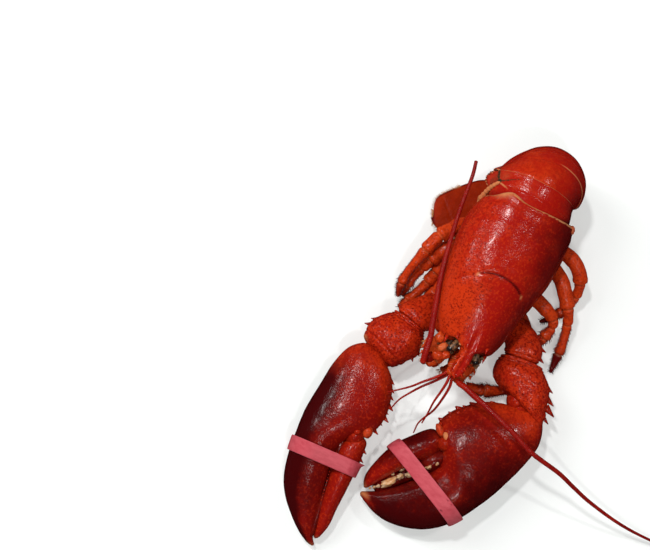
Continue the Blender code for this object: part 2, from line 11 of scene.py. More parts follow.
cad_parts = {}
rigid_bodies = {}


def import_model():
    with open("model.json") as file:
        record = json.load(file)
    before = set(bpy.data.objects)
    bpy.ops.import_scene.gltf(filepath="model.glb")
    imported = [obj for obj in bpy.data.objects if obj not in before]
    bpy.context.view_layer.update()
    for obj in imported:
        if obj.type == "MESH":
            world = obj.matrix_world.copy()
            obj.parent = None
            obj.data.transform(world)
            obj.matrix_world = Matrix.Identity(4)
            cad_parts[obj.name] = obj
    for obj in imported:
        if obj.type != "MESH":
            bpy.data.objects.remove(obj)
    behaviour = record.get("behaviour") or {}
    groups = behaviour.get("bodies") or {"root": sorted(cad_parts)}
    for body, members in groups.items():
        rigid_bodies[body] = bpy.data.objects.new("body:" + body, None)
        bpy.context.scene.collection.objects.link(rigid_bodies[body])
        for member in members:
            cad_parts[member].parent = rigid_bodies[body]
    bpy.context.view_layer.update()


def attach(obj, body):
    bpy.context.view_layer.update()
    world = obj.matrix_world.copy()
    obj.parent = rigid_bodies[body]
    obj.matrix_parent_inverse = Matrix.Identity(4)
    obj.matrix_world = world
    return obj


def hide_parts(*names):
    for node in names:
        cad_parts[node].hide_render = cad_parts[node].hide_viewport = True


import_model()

MM = 0.001
TAU = 2 * pi
UP = Vector((0, 0, 1))
pick = random.Random(11)


# ------------------------------------------------------------------ small maths

def table_at(table, t):
    """Reads rows of (t, value, ...) at t, along a smooth curve through the rows."""
    if t <= table[0][0]:
        return list(table[0][1:])
    if t >= table[-1][0]:
        return list(table[-1][1:])
    i = next(k for k in range(len(table) - 1) if t <= table[k + 1][0])
    low, high = table[i], table[i + 1]
    before, after = table[max(i - 1, 0)], table[min(i + 2, len(table) - 1)]
    span = high[0] - low[0]
    f = (t - low[0]) / span
    row = []
    for k in range(1, len(low)):
        m0 = (high[k] - before[k]) / (high[0] - before[0]) * span
        m1 = (after[k] - low[k]) / (after[0] - low[0]) * span
        row.append((2 * f**3 - 3 * f**2 + 1) * low[k] + (f**3 - 2 * f**2 + f) * m0
                   + (3 * f**2 - 2 * f**3) * high[k] + (f**3 - f**2) * m1)
    return row


def step(low, high, x):
    """0 below low, 1 above high, smooth between."""
    f = min(1.0, max(0.0, (x - low) / (high - low)))
    return f * f * (3 - 2 * f)


def bell(x, width):
    return exp(-((x / width) ** 2))


def rounded(share, start, end):
    """Closes a form at both ends: 0 at the ends, 1 further in than start and end."""
    r = 1.0
    if start and share < start:
        r = sqrt(max(0.0, 1 - (1 - share / start) ** 2))
    if end and share > 1 - end:
        r = min(r, sqrt(max(0.0, 1 - (1 - (1 - share) / end) ** 2)))
    return r


def flat_axis(degrees):
    """A level axis at an angle from the x axis."""
    return Vector((cos(radians(degrees)), sin(radians(degrees)), 0))


def signed_power(value, power):
    return copysign(abs(value) ** power, value)


def relief(point, size, seed=0.0):
    """Uneven swelling of about -1 to 1, with lumps about size wide."""
    return noise.noise(point / size + Vector((seed, seed * 0.7, -seed)))


# ------------------------------------------------------------------ finishes

class Wire:
    """A shader value that Python sums can use."""

    def __init__(self, finish, socket):
        self.finish, self.socket = finish, socket

    def maths(self, operation, first, second):
        return self.finish.node("Math", {"operation": operation}, {0: first, 1: second})

    def __add__(self, other):
        return self.maths("ADD", self, other)

    def __sub__(self, other):
        return self.maths("SUBTRACT", self, other)

    def __mul__(self, other):
        return self.maths("MULTIPLY", self, other)

    def __rsub__(self, other):
        return self.maths("SUBTRACT", other, self)

    __radd__ = __add__
    __rmul__ = __mul__

    def between(self, low, high):
        """0 below low, 1 above high."""
        return self.finish.node("MapRange", {"interpolation_type": "SMOOTHSTEP"},
                                {0: self, 1: low, 2: high, 3: 0.0, 4: 1.0})


class Finish:
    """One procedural material."""

    def __init__(self, name):
        self.material = bpy.data.materials.new(name)
        self.material.use_nodes = True
        self.tree = self.material.node_tree
        self.shader = self.tree.nodes["Principled BSDF"]

    def node(self, kind, settings=None, inputs=None, output=0):
        made = self.tree.nodes.new("ShaderNode" + kind)
        for key, value in (settings or {}).items():
            setattr(made, key, value)
        for key, value in (inputs or {}).items():
            self.join(made.inputs[key], value)
        return Wire(self, made.outputs[output])

    def join(self, socket, value):
        if isinstance(value, Wire):
            self.tree.links.new(value.socket, socket)
        else:
            socket.default_value = value

    def set(self, **values):
        for key, value in values.items():
            self.join(self.shader.inputs[key.replace("_", " ").title().replace("Ior", "IOR")], value)

    def mix(self, first, second, share):
        first, second = [c if isinstance(c, Wire) else (*c, 1.0) for c in (first, second)]
        return self.node("Mix", {"data_type": "RGBA"}, {0: share, 6: first, 7: second}, 2)

    def place(self):
        return self.node("TexCoord", output="Object")

    def noise(self, scale, detail=3.0, roughness=0.55, place=None):
        return self.node("TexNoise", inputs={"Vector": place or self.place(), "Scale": scale,
                                             "Detail": detail, "Roughness": roughness})

    def cells(self, scale, output="Distance", feature="F1", place=None):
        return self.node("TexVoronoi", {"feature": feature},
                         {"Vector": place or self.place(), "Scale": scale}, output)

    def bump(self, height, strength, distance):
        return self.node("Bump", inputs={"Height": height, "Strength": strength, "Distance": distance})


RED = (0.30, 0.006, 0.0030)
ORANGE = (0.46, 0.028, 0.0045)
MAROON = (0.075, 0.002, 0.002)
TAN = (0.50, 0.19, 0.07)
SHADE_BLACK = (0.030, 0.022, 0.010)
SPECK = (0.13, 0.003, 0.0015)


def shell_finish(name, red=RED, orange=ORANGE, maroon=MAROON, specks=0.8, grain=0.30, rough=0.21, coat=0.05,
                 shine=0.15):
    """Wet cooked shell. The tint attribute says where it is orange, dark or pale, and where near-black painted
    shade goes.
    """
    f = Finish(name)
    place = f.place()
    tint = f.node("Attribute", {"attribute_name": "tint"}, output="Color")
    painted_shade = f.node("Attribute", {"attribute_name": "tint"}, output="Alpha")
    split = f.node("SeparateColor", inputs={0: tint})
    warm, dark, pale = split, Wire(f, split.socket.node.outputs[1]), Wire(f, split.socket.node.outputs[2])
    broad = f.noise(75, 3.0, 0.55, place)
    patch = f.noise(230, 4.0, 0.6, place)
    fine = f.noise(1100, 2.0, 0.5, place)
    heat = (warm + (broad - 0.5) * 0.85 + (patch - 0.5) * 0.85).between(0.10, 0.95)
    colour = f.mix(red, orange, heat)
    depth = (dark + (broad - 0.5) * -0.45 + (patch - 0.5) * 0.35).between(0.14, 1.0)
    colour = f.mix(colour, maroon, depth)
    mottle = f.noise(640, 3.0, 0.6, place)
    colour = f.mix(colour, SPECK, (0.50 - mottle).between(0.0, 0.14) * 0.55 * specks * heat.between(0.0, 0.4))
    colour = f.mix(colour, orange, (mottle - 0.52).between(0.0, 0.12) * 0.6 * specks * (1 - depth))
    near = 0.40 - f.cells(760, place=place) + (fine - 0.5) * 0.5 + (patch - 0.5) * 0.6
    dots = near.between(0.0, 0.22) * 0.85
    sparse = f.noise(160, 2.0, 0.5, place).between(0.34, 0.56)
    colour = f.mix(colour, SPECK, dots * sparse * (1 - depth * 0.6) * heat.between(0.05, 0.5) * specks)
    colour = f.mix(colour, TAN, (pale + (patch - 0.5) * pale * 0.8).between(0.1, 0.9) * 0.85)
    # Near-black painted shade in hollows, creases and gaps, from the tint's last share.
    colour = f.mix(colour, SHADE_BLACK, (painted_shade + (fine - 0.5) * painted_shade).between(0.25, 0.9))
    f.set(base_color=colour, roughness=rough + (patch - 0.5) * 0.22 + pale * 0.2, coat_weight=coat)
    f.shader.inputs["Coat Roughness"].default_value = 0.10
    f.shader.inputs["Specular IOR Level"].default_value = shine
    pits = f.cells(900, place=place) * 0.6 + fine * 0.5 + patch * 0.9
    f.set(normal=f.bump(pits, grain, 0.0006))
    return f.material


def rubber_finish():
    f = Finish("pink_rubber")
    place = f.place()
    streak = f.noise(420, 4.0, 0.6, f.node("Mapping", inputs={0: place, 2: (0, 0, 0.3), 3: (0.35, 1.0, 1.0)}))
    dust = f.noise(2600, 2.0, 0.5, place)
    colour = f.mix((0.42, 0.045, 0.062), (0.50, 0.070, 0.090), streak.between(0.3, 0.7))
    f.set(base_color=f.mix(colour, (0.62, 0.13, 0.15), dust.between(0.55, 0.75) * 0.3),
          roughness=0.48 + (streak - 0.5) * 0.2)
    f.set(normal=f.bump(dust * 0.5 + streak, 0.25, 0.0003))
    f.shader.inputs["Specular IOR Level"].default_value = 0.35
    return f.material


def plain_finish(name, first, second, scale, rough, bump=0.2, coat=0.0):
    """A finish that wanders between two colours."""
    f = Finish(name)
    grain = f.noise(scale, 3.0)
    f.set(base_color=f.mix(first, second, grain.between(0.35, 0.65)), roughness=rough + (grain - 0.5) * 0.2)
    if coat:
        f.shader.inputs["Coat Weight"].default_value = coat
    f.set(normal=f.bump(grain, bump, 0.0004))
    return f.material


body_shell = shell_finish("body_shell", specks=1.0, grain=0.24)
tail_shell = shell_finish("tail_shell", specks=0.45, grain=0.22)
claw_shell = shell_finish("claw_shell", red=(0.225, 0.005, 0.0025), maroon=(0.042, 0.0012, 0.0016), rough=0.22,
                          grain=0.28, specks=0.85)
arm_shell = shell_finish("arm_shell", red=(0.27, 0.006, 0.003), specks=1.35, grain=0.40)
leg_shell = shell_finish("leg_shell", red=(0.34, 0.010, 0.0030), orange=(0.50, 0.040, 0.006), grain=0.42)
head_shell = shell_finish("head_shell", orange=(0.52, 0.055, 0.009), specks=0.5)
fan_shell = shell_finish("fan_shell", red=(0.21, 0.010, 0.001), orange=(0.30, 0.021, 0.002), specks=0.2,
                         grain=0.25, rough=0.34, coat=0.0, shine=0.03)
feeler_shell = shell_finish("feeler_shell", red=(0.20, 0.004, 0.003), orange=(0.34, 0.012, 0.004), specks=0.0,
                            grain=0.15, rough=0.28)
rubber = rubber_finish()
dark_hair = plain_finish("dark_bristle", (0.050, 0.006, 0.005), (0.12, 0.014, 0.008), 900, 0.45)
tan_hair = plain_finish("tan_fringe", (0.30, 0.11, 0.035), (0.50, 0.20, 0.06), 900, 0.6)
eye_gloss = plain_finish("eye_gloss", (0.006, 0.006, 0.007), (0.016, 0.012, 0.010), 1500, 0.22, 0.1, 0.1)
tooth = plain_finish("tooth_cream", (0.50, 0.22, 0.075), (0.66, 0.48, 0.30), 210, 0.32, 0.4, 0.2)
green_gut = plain_finish("head_tissue", (0.020, 0.012, 0.007), (0.27, 0.12, 0.05), 420, 0.45, 0.6, 0.1)


# ------------------------------------------------------------------ making pieces

# A tint is its warm, dark and pale shares and a share of near-black painted shade.
PLAIN = (0.3, 0.2, 0.0, 0.0)
NO_TINT = (0.0, 0.0, 0.0, 0.0)
RED_TIP = (0.35, 0.1, 0.0, 0.0)
SPINE = (0.35, 0.45, 0.0, 0.0)


def finish_piece(obj, material, nodes=(), smooth=None):
    bpy.context.scene.collection.objects.link(obj)
    obj.data.materials.append(material)
    if obj.type == "MESH":
        obj.data.shade_smooth()
        if smooth:
            obj.data.set_sharp_from_angle(angle=radians(smooth))
    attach(obj, "root")
    if nodes:
        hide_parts(*nodes)
    return obj


def bend_grid(surface, around, along, paint=None):
    """A closed skin: a grid bent so that its first axis runs round and its second along."""
    bm = bmesh.new()
    tint = bm.verts.layers.float_color.new("tint")
    bmesh.ops.create_grid(bm, x_segments=around, y_segments=along, size=0.5)
    for vert in bm.verts:
        turn, share = vert.co.x + 0.5, vert.co.y + 0.5
        point = surface(turn, share)
        vert[tint] = paint(turn, share, point) if paint else PLAIN
        vert.co = point * MM
    bmesh.ops.remove_doubles(bm, verts=bm.verts, dist=2e-6)
    bmesh.ops.dissolve_degenerate(bm, edges=bm.edges, dist=1e-6)
    bmesh.ops.holes_fill(bm, edges=bm.edges, sides=0)
    bmesh.ops.recalc_face_normals(bm, faces=bm.faces)
    if bm.calc_volume(signed=True) < 0:
        bmesh.ops.reverse_faces(bm, faces=bm.faces)
    return bm


def empty_piece():
    bm = bmesh.new()
    bm.verts.layers.float_color.new("tint")
    return bm


def prick(bm, root, tip, radius, colour=(0.3, 0.5, 0.0, 0.0), sides=8, blunt=0.12):
    """A spine: a cone from root to tip."""
    line = tip - root
    turn = line.to_track_quat("Z", "Y").to_matrix().to_4x4()
    where = Matrix.Translation((root + tip) / 2 * MM) @ turn
    made = bmesh.ops.create_cone(bm, cap_ends=True, segments=sides, radius1=radius * MM,
                                 radius2=radius * blunt * MM, depth=line.length * MM, matrix=where)
    tint = bm.verts.layers.float_color["tint"]
    for vert in made["verts"]:
        vert[tint] = colour


def knob(bm, centre, sizes, colour, heading=0.0, uneven=0.12):
    """A rounded lump, such as a tooth or a joint's knuckle."""
    made = bmesh.ops.create_icosphere(bm, subdivisions=3, radius=1.0)["verts"]
    tint = bm.verts.layers.float_color["tint"]
    turn = Matrix.Rotation(heading, 3, "Z")
    for vert in made:
        size = 1 + uneven * noise.noise(vert.co * 1.7 + centre)
        point = centre + turn @ Vector([a * b * size for a, b in zip(vert.co, sizes)])
        vert.co = Vector((point.x, point.y, max(point.z, 0.1))) * MM
        vert[tint] = colour


def piece_from(bm, name, material, nodes=(), smooth=None):
    mesh = bpy.data.meshes.new(name)
    bm.to_mesh(mesh)
    bm.free()
    return finish_piece(bpy.data.objects.new(name, mesh), material, nodes, smooth)


def strands(name, hairs, material):
    """Many fine hairs in one curve piece. Each hair is a list of (point, radius)."""
    data = bpy.data.curves.new(name, "CURVE")
    data.dimensions = "3D"
    data.bevel_depth = MM
    data.bevel_resolution = 0
    data.use_fill_caps = True
    for hair in hairs:
        spline = data.splines.new("POLY")
        spline.points.add(len(hair) - 1)
        for point, (place, radius) in zip(spline.points, hair):
            point.co = (*(place * MM), 1.0)
            point.radius = radius
    return finish_piece(bpy.data.objects.new(name, data), material)


def distances(points):
    """How far along a line of points each point is."""
    far = [0.0]
    for a, b in zip(points, points[1:]):
        far.append(far[-1] + (b - a).length)
    return far


def smooth_line(points, samples):
    """Evenly spread places along a smooth curve through points."""
    pts = [Vector(p) for p in points]
    rows = [(far, *point) for far, point in zip(distances(pts), pts)]
    total = rows[-1][0]
    return [Vector(table_at(rows, total * k / (samples - 1))) for k in range(samples)], total


class Path:
    """A smooth centreline with its own side and up axes."""

    def __init__(self, points, samples=160):
        self.line, self.length = smooth_line(points, samples)

    def at(self, share):
        f = min(1.0, max(0.0, share)) * (len(self.line) - 1)
        i = min(int(f), len(self.line) - 2)
        place = self.line[i].lerp(self.line[i + 1], f - i)
        ahead = (self.line[min(i + 3, len(self.line) - 1)] - self.line[max(i - 2, 0)]).normalized()
        side = ahead.cross(UP)
        side = side.normalized() if side.length > 0.08 else Vector((1, 0, 0))
        return place, ahead, side, side.cross(ahead).normalized()


def tube(path, radius, around, along, paint=None, start=0.0, end=1.0, flat=1.0, caps=(0.02, 0.02)):
    """A limb along a path. radius(share) is its half width."""
    def surface(turn, share):
        real = start + (end - start) * share
        place, _, side, rise = path.at(real)
        r = radius(real) * rounded(share, *caps)
        a = TAU * turn
        point = place + side * cos(a) * r + rise * sin(a) * r * flat
        point.z = max(point.z, 0.05)
        return point

    return bend_grid(surface, around, along, paint and (lambda turn, share, point:
                                                        paint(start + (end - start) * share, turn, point)))


# ------------------------------------------------------------------ body shell

ROLL = radians(13.0)
TRUNK = (Matrix.Translation((-1.8, -20.0, 22.0)) @ Matrix.Rotation(ROLL, 4, "Y")
         @ Matrix.Rotation(radians(4.0), 4, "X"))
LENGTH = 105.0
HEAD_MIDDLE = 2.4
CARAPACE = [
    # share of length, half width, back's height, lower edge's height
    (0.00, 27.5, 43.0, 8.0), (0.05, 29.8, 44.6, 4.5), (0.15, 31.2, 45.6, 2.5), (0.30, 31.0, 45.8, 2.0),
    (0.45, 28.9, 45.0, 2.0), (0.60, 25.6, 42.8, 2.0), (0.70, 22.8, 40.6, 2.4), (0.75, 20.6, 39.4, 3.2),
    (0.785, 18.4, 38.7, 5.0), (0.805, 15.6, 38.3, 9.0), (0.82, 11.0, 38.0, 18.0), (0.834, 5.2, 37.8, 27.0),
    (0.87, 4.3, 37.4, 30.6), (0.93, 4.0, 37.0, 32.2), (0.975, 3.0, 37.2, 34.0), (1.00, 0.9, 37.6, 36.0),
]
HEAD_LEAN = [(0.0, 0.0), (0.55, 0.0), (0.85, 3.2), (1.0, 1.8)]
SPREAD = [(0.0, 0.0), (0.02, 0.0), (0.58, 0.76), (0.84, 0.86), (1.0, 1.0)]


def trunk(x, y, z):
    return TRUNK @ Vector((x, y, z))


def carapace_place(turn, share):
    """A place on the body shell on the trunk's own axes, before grooves."""
    half, top, bottom = table_at(CARAPACE, share)
    level = bottom + (top - bottom) * 0.42
    lean = table_at(HEAD_LEAN, share)[0]
    a = TAU * turn - pi / 2
    c, s = cos(a), sin(a)
    if s >= 0:
        x, z = half * signed_power(c, 0.92), level + (top - level) * s**0.95
    else:
        x = half * signed_power(c, 0.55) * (1 - 0.38 * abs(s) ** 1.6)
        z = level - (level - bottom) * abs(s) ** 0.75
    y = -LENGTH * share
    return Vector((x + lean * z / top, y, z)), Vector((lean * level / top, y, level)), a


def groove_share(roll):
    """Where the neck groove crosses, at an angle from the middle of the back."""
    out = max(0.0, abs(roll) - 0.48)
    return 0.388 + 0.045 * (roll / 0.5) ** 2 * (abs(roll) < 0.5) + 0.045 * (abs(roll) >= 0.5) + 0.15 * out


def carapace_surface(turn, t):
    share = table_at(SPREAD, t)[0]
    inner = 1 - 0.12 * (1 - min(1.0, t / 0.02))
    place, middle, a = carapace_place(turn, share)
    out = (place - middle).normalized()
    roll = a - pi / 2
    lift = 0.0
    if sin(a) > -0.2:
        away = (share - groove_share(roll)) * LENGTH
        strength = 1 - 0.82 * step(0.38, 0.52, abs(roll)) - 0.18 * step(0.9, 1.4, abs(roll))
        lift -= 0.9 * bell(away, 0.75) * strength
        lift += 0.30 * bell(away + 4.0, 3.0) * strength
        lift -= 0.22 * bell(place.x - middle.x, 0.5) * (1 - step(0.36, 0.39, share))
    lift += 1.5 * (1 - step(0.0, 0.11, share)) * max(0.0, sin(a))
    lift += 0.35 * bell((share - 0.010) * LENGTH, 1.0) - 0.30 * bell((share - 0.038) * LENGTH, 1.2)
    lift += 0.35 * relief(place, 12.0) + 0.12 * relief(place, 4.0, 3.0)
    if share > 0.66 and sin(a) > 0:
        beside = abs(place.x - table_at(HEAD_LEAN, share)[0])
        ridge = step(0.66, 0.82, share)
        lift += ridge * (0.5 * bell(beside - 3.0, 1.1) - 0.5 * bell(beside, 1.3))
    place = middle + (place - middle) * inner + out * lift
    for side in (-1, 1):
        hollow = bell(place.x - HEAD_MIDDLE - side * 8.2, 3.4) * bell(place.z - 30.5, 4.0)
        hollow *= step(0.79, 0.81, share)
        place.y += 3.2 * hollow * (1 - step(0.835, 0.86, share))
    place.y += (4.2 + 3.6 * cos(a)) * (1 - step(0.0, 0.24, share))
    place.y += 4.6 * bell(a - 2.22, 0.30) * (1 - step(0.0, 0.10, share))
    place.x += 2.2 * step(0.1, 0.9, cos(a)) * (1 - step(0.10, 0.55, share))
    return TRUNK @ place


def carapace_paint(turn, t, point):
    share = table_at(SPREAD, t)[0]
    place, middle, a = carapace_place(turn, share)
    half = table_at(CARAPACE, share)[0]
    side = -(place.x - middle.x) / max(half, 6.0)
    roll = a - pi / 2
    # The -X side is more orange and the +X side darker: partly the shell's own colour, partly painted light and
    # shade.
    warm = 0.24 + 0.56 * step(0.20, 0.66, share) * step(-0.10, 0.5, side) + 0.18 * step(0.2, 0.9, side)
    warm -= 0.35 * bell(side + 0.15, 0.30) * step(0.45, 0.6, share)
    dark = 0.17 + 0.60 * step(0.0, 0.90, -side) + 0.22 * (1 - step(0.0, 0.42, share)) * step(-0.9, 0.2, -side)
    away = (share - groove_share(roll)) * LENGTH
    # Painted shade darkens the neck groove.
    if abs(roll) < 0.6:
        dark += 0.9 * bell(away, 0.55) * (1 - step(0.40, 0.52, abs(roll)))
    hem = 0.006 + 0.006 * relief(point, 1.7) + 0.003 * step(0.2, 0.9, -side)
    pale = 1.0 * (1 - step(hem - 0.003, hem, share)) + 0.5 * bell(side - 0.75, 0.16) * (
        1 - step(0.0, 0.06, share)) * (sin(a) > 0)
    pale += 0.38 * bell(a - 2.24, 0.22) * (1 - step(0.0, 0.05, share))
    for end in (-0.50, 0.50):
        pale += 0.7 * bell((roll - end) * half, 1.3) * bell(away, 1.6)
    # The closing wall at the hind end is darkened as painted shade in the gap over the tail.
    wall = 1 - step(0.010, 0.019, t)
    pale, dark = pale * (1 - wall), dark + 0.5 * wall
    # Painted shade darkens the hollows round the eyes.
    painted_shade = 0.0
    for eye in (-1, 1):
        hollow = bell(place.x - HEAD_MIDDLE - eye * 7.6, 4.0) * bell(place.z - 31.5, 4.5)
        painted_shade += 1.1 * hollow * step(0.800, 0.815, share)
    painted_shade *= 1 - step(0.835, 0.85, share)
    if sin(a) < -0.3:
        warm, dark = 0.8, 0.0
    return (max(0.0, warm), max(0.0, dark), min(1.0, pale), min(1.0, painted_shade))


def build_carapace():
    bm = bend_grid(carapace_surface, 150, 210, carapace_paint)
    for side in (-1, 1):
        for y, size in ((-92.5, 2.2), (-97.0, 2.2), (-101.0, 1.9)):
            root = trunk(1.9 + side * 2.9, y, 36.0)
            tip = trunk(1.9 + side * (3.8 + size * 0.5), y - size * 1.1, 37.0)
            prick(bm, root, tip, 1.0, RED_TIP)
        # beside, above and below each eye: middle, out, y, z at the root, the same at the tip, radius
        for x, out, y, z, tip_x, tip_out, tip_y, tip_z, radius in (
                (2.3, 13.0, -84.0, 28.5, 2.3, 13.4, -89.4, 29.4, 1.5),
                (2.4, 10.0, -81.0, 36.4, 2.6, 9.6, -84.6, 37.6, 1.2),
                (1.8, 15.4, -83.0, 20.0, 1.8, 15.6, -87.0, 20.0, 1.5)):
            root, tip = trunk(x + side * out, y, z), trunk(tip_x + side * tip_out, tip_y, tip_z)
            prick(bm, root, tip, radius, RED_TIP)
    prick(bm, trunk(1.8, -103.6, 36.9), trunk(1.8, -106.0, 37.2), 0.9, RED_TIP)
    knob(bm, Vector((32.2, -16.2, 48.8)), (1.7, 2.8, 2.6), (0.3, 0.3, 0.45, 0.0), 0.4, 0.3)
    piece_from(bm, "back_shell", body_shell, ["carapace"])


def build_soft_bits():
    """Soft flesh showing where the back shell meets the tail."""
    path = Path([(-20.0, -26.5, 38.5), (-24.8, -22.0, 42.4), (-24.0, -18.0, 46.4), (-23.0, -15.4, 51.0),
                 (-21.4, -13.4, 55.4), (-19.2, -11.2, 58.6)], 60)
    bm = tube(path, lambda share: 2.1 * (1 + 0.10 * sin(share * 62)) * (1 - 0.55 * share), 20, 110,
              lambda share, turn, point: (0.9, 0.0, 0.75, 0.0), flat=0.65, caps=(0.15, 0.1))
    for x, y, z, size in ((31.6, -14.6, 34, 2.2), (31.4, -12.2, 35.4, 1.8)):
        knob(bm, Vector((x, y, z)), (size, size * 1.3, size), (0.5, 0.2, 0.35, 0.05), pick.random(), 0.5)
    torn = Path([(-24.6, -13.0, 47.0), (-26.4, -9.7, 45.5), (-25.6, -5.0, 48.8), (-22.2, -2.6, 54.0)], 40)
    # The last share of each shred's tint is near-black painted shade in the torn gap.
    shreds, tints = 26, ((0.5, 0.3, 0.6, 0.2), (0.3, 0.8, 0.0, 0.7), (0.4, 0.5, 0.2, 0.3))
    for k in range(shreds):
        spot, colour = torn.at((k + pick.random()) / shreds)[0], tints[k % 3]
        stray = Vector((-pick.uniform(0.4, 1.8), pick.uniform(-0.9, 0.9), pick.uniform(-0.6, 1.0)))
        prick(bm, spot + Vector((1.6, 0, -0.4)), spot + stray, pick.uniform(0.7, 1.1), colour, 6, 0.25)
    piece_from(bm, "soft_flesh", head_shell)


def build_breastplate():
    table = [(0.0, 9.0, 3.0), (0.15, 12.5, 5.0), (0.5, 13.0, 5.6), (0.85, 10.0, 5.0), (1.0, 7.0, 3.4)]

    def surface(turn, share):
        half, deep = table_at(table, share)
        y = -10.0 - 68.0 * share
        ceiling = table_at(CARAPACE, -y / LENGTH)[2] - 0.6
        a = TAU * turn
        r = rounded(share, 0.05, 0.05)
        ribs = 0.5 * abs(sin(share * pi * 5.5))
        keel = 0.8 * bell(cos(a), 0.25) * (sin(a) < 0)
        return trunk(signed_power(cos(a), 0.7) * half * r, y,
                     ceiling - deep / 2 + (signed_power(sin(a), 0.7) * (deep / 2 - ribs) - keel) * r)

    bm = bend_grid(surface, 48, 90, lambda turn, share, point: (0.95, 0.0, 0.35, 0.0))
    piece_from(bm, "breast_plate", leg_shell, ["breastplate"])


# ------------------------------------------------------------------ tail

BREAKS = [0.4, 6.5, 16.5, 42.5, 66.0, 87.0, 124.0]
HALF_WIDTHS = [24.5, 26.0, 26.4, 25.4, 23.8, 22.0, 18.5]
TAIL_DEPTH, TAIL_TAPER = 30.0, 12.0
SIDE_LOBES = (0.0, 3.6, 5.2, 4.4, 3.2, 0.0)
ROWS_ALONG = (16, 26, 56, 50, 46, 66)
RADIUS, STRAIGHT = 33.0, 18.0


def tail_frame(distance):
    """Place on the tail's back, and its outward and sideways axes."""
    if distance < STRAIGHT:
        y, z, angle = -20.0 + distance, 2 * RADIUS, 0.0
    else:
        angle = (distance - STRAIGHT) / RADIUS
        y = -2.0 + RADIUS * sin(angle)
        z = RADIUS + RADIUS * cos(angle) - 2.6 * min(1.0, angle / pi)
    turn = min(1.0, angle / radians(150))
    shift = 6.8 + 3.6 * sin(pi * min(1.0, turn * 1.3)) - 9.2 * turn**2
    twist = Matrix.Rotation(ROLL * (1 - turn), 3, "Y")
    out = twist @ Vector((0, sin(angle), cos(angle)))
    return Vector((shift, y, z)), out, twist @ Vector((1, 0, 0))


def tail_place(distance, a, half, thickness, lift=0.0):
    place, out, across = tail_frame(distance)
    c, s = cos(a), sin(a)
    if s >= 0:
        depth, pull = (1 - s) * thickness * 0.84, 1.0
    else:
        depth, pull = thickness * (0.84 + 0.16 * abs(s) ** 0.5), 0.86 + 0.14 * (1 - abs(s))
    point = place + across * c * (half * pull + lift) - out * (depth - lift * s)
    point.z = max(point.z, 0.0)
    return point


def tail_size(distance):
    i = next((k for k in range(6) if distance <= BREAKS[k + 1]), 5)
    share = (distance - BREAKS[i]) / (BREAKS[i + 1] - BREAKS[i])
    half = HALF_WIDTHS[i] * (1 - share) + HALF_WIDTHS[i + 1] * share
    return half, TAIL_DEPTH - TAIL_TAPER * max(0.0, (distance - BREAKS[4]) / (BREAKS[6] - BREAKS[4]))


CREASES = (
    # from, to, width, pale, painted shade
    ((-19.6, -10.8, 0), (-9.5, -6.6, 0), 0.50, 0.0, 1.0),
    ((-20.0, -10.4, 0), (-22.6, -2.6, 0), 0.55, 0.2, 0.9),
    ((-19.8, -10.2, 0), (-16.0, -4.6, 0), 0.35, 0.0, 0.6),
    ((-19.4, -11.4, 0), (-13.0, -14.6, 0), 0.45, 0.8, 0.2),
)


def crease_paint(point):
    """Pale shares, and shares of near-black painted shade, along the torn creases at the tail's root."""
    pale = painted_shade = 0.0
    point = Vector((point.x, point.y, 0.0))
    for start, end, width, light, crease_shade in CREASES:
        start, line = Vector(start), Vector(end) - Vector(start)
        f = min(1.0, max(0.0, (point - start).dot(line) / line.length_squared))
        near = bell((point - start - line * f).length + 0.25 * relief(point, 1.5), width * (1.2 - 0.6 * f))
        pale, painted_shade = pale + light * near, painted_shade + crease_shade * near
    return pale, painted_shade


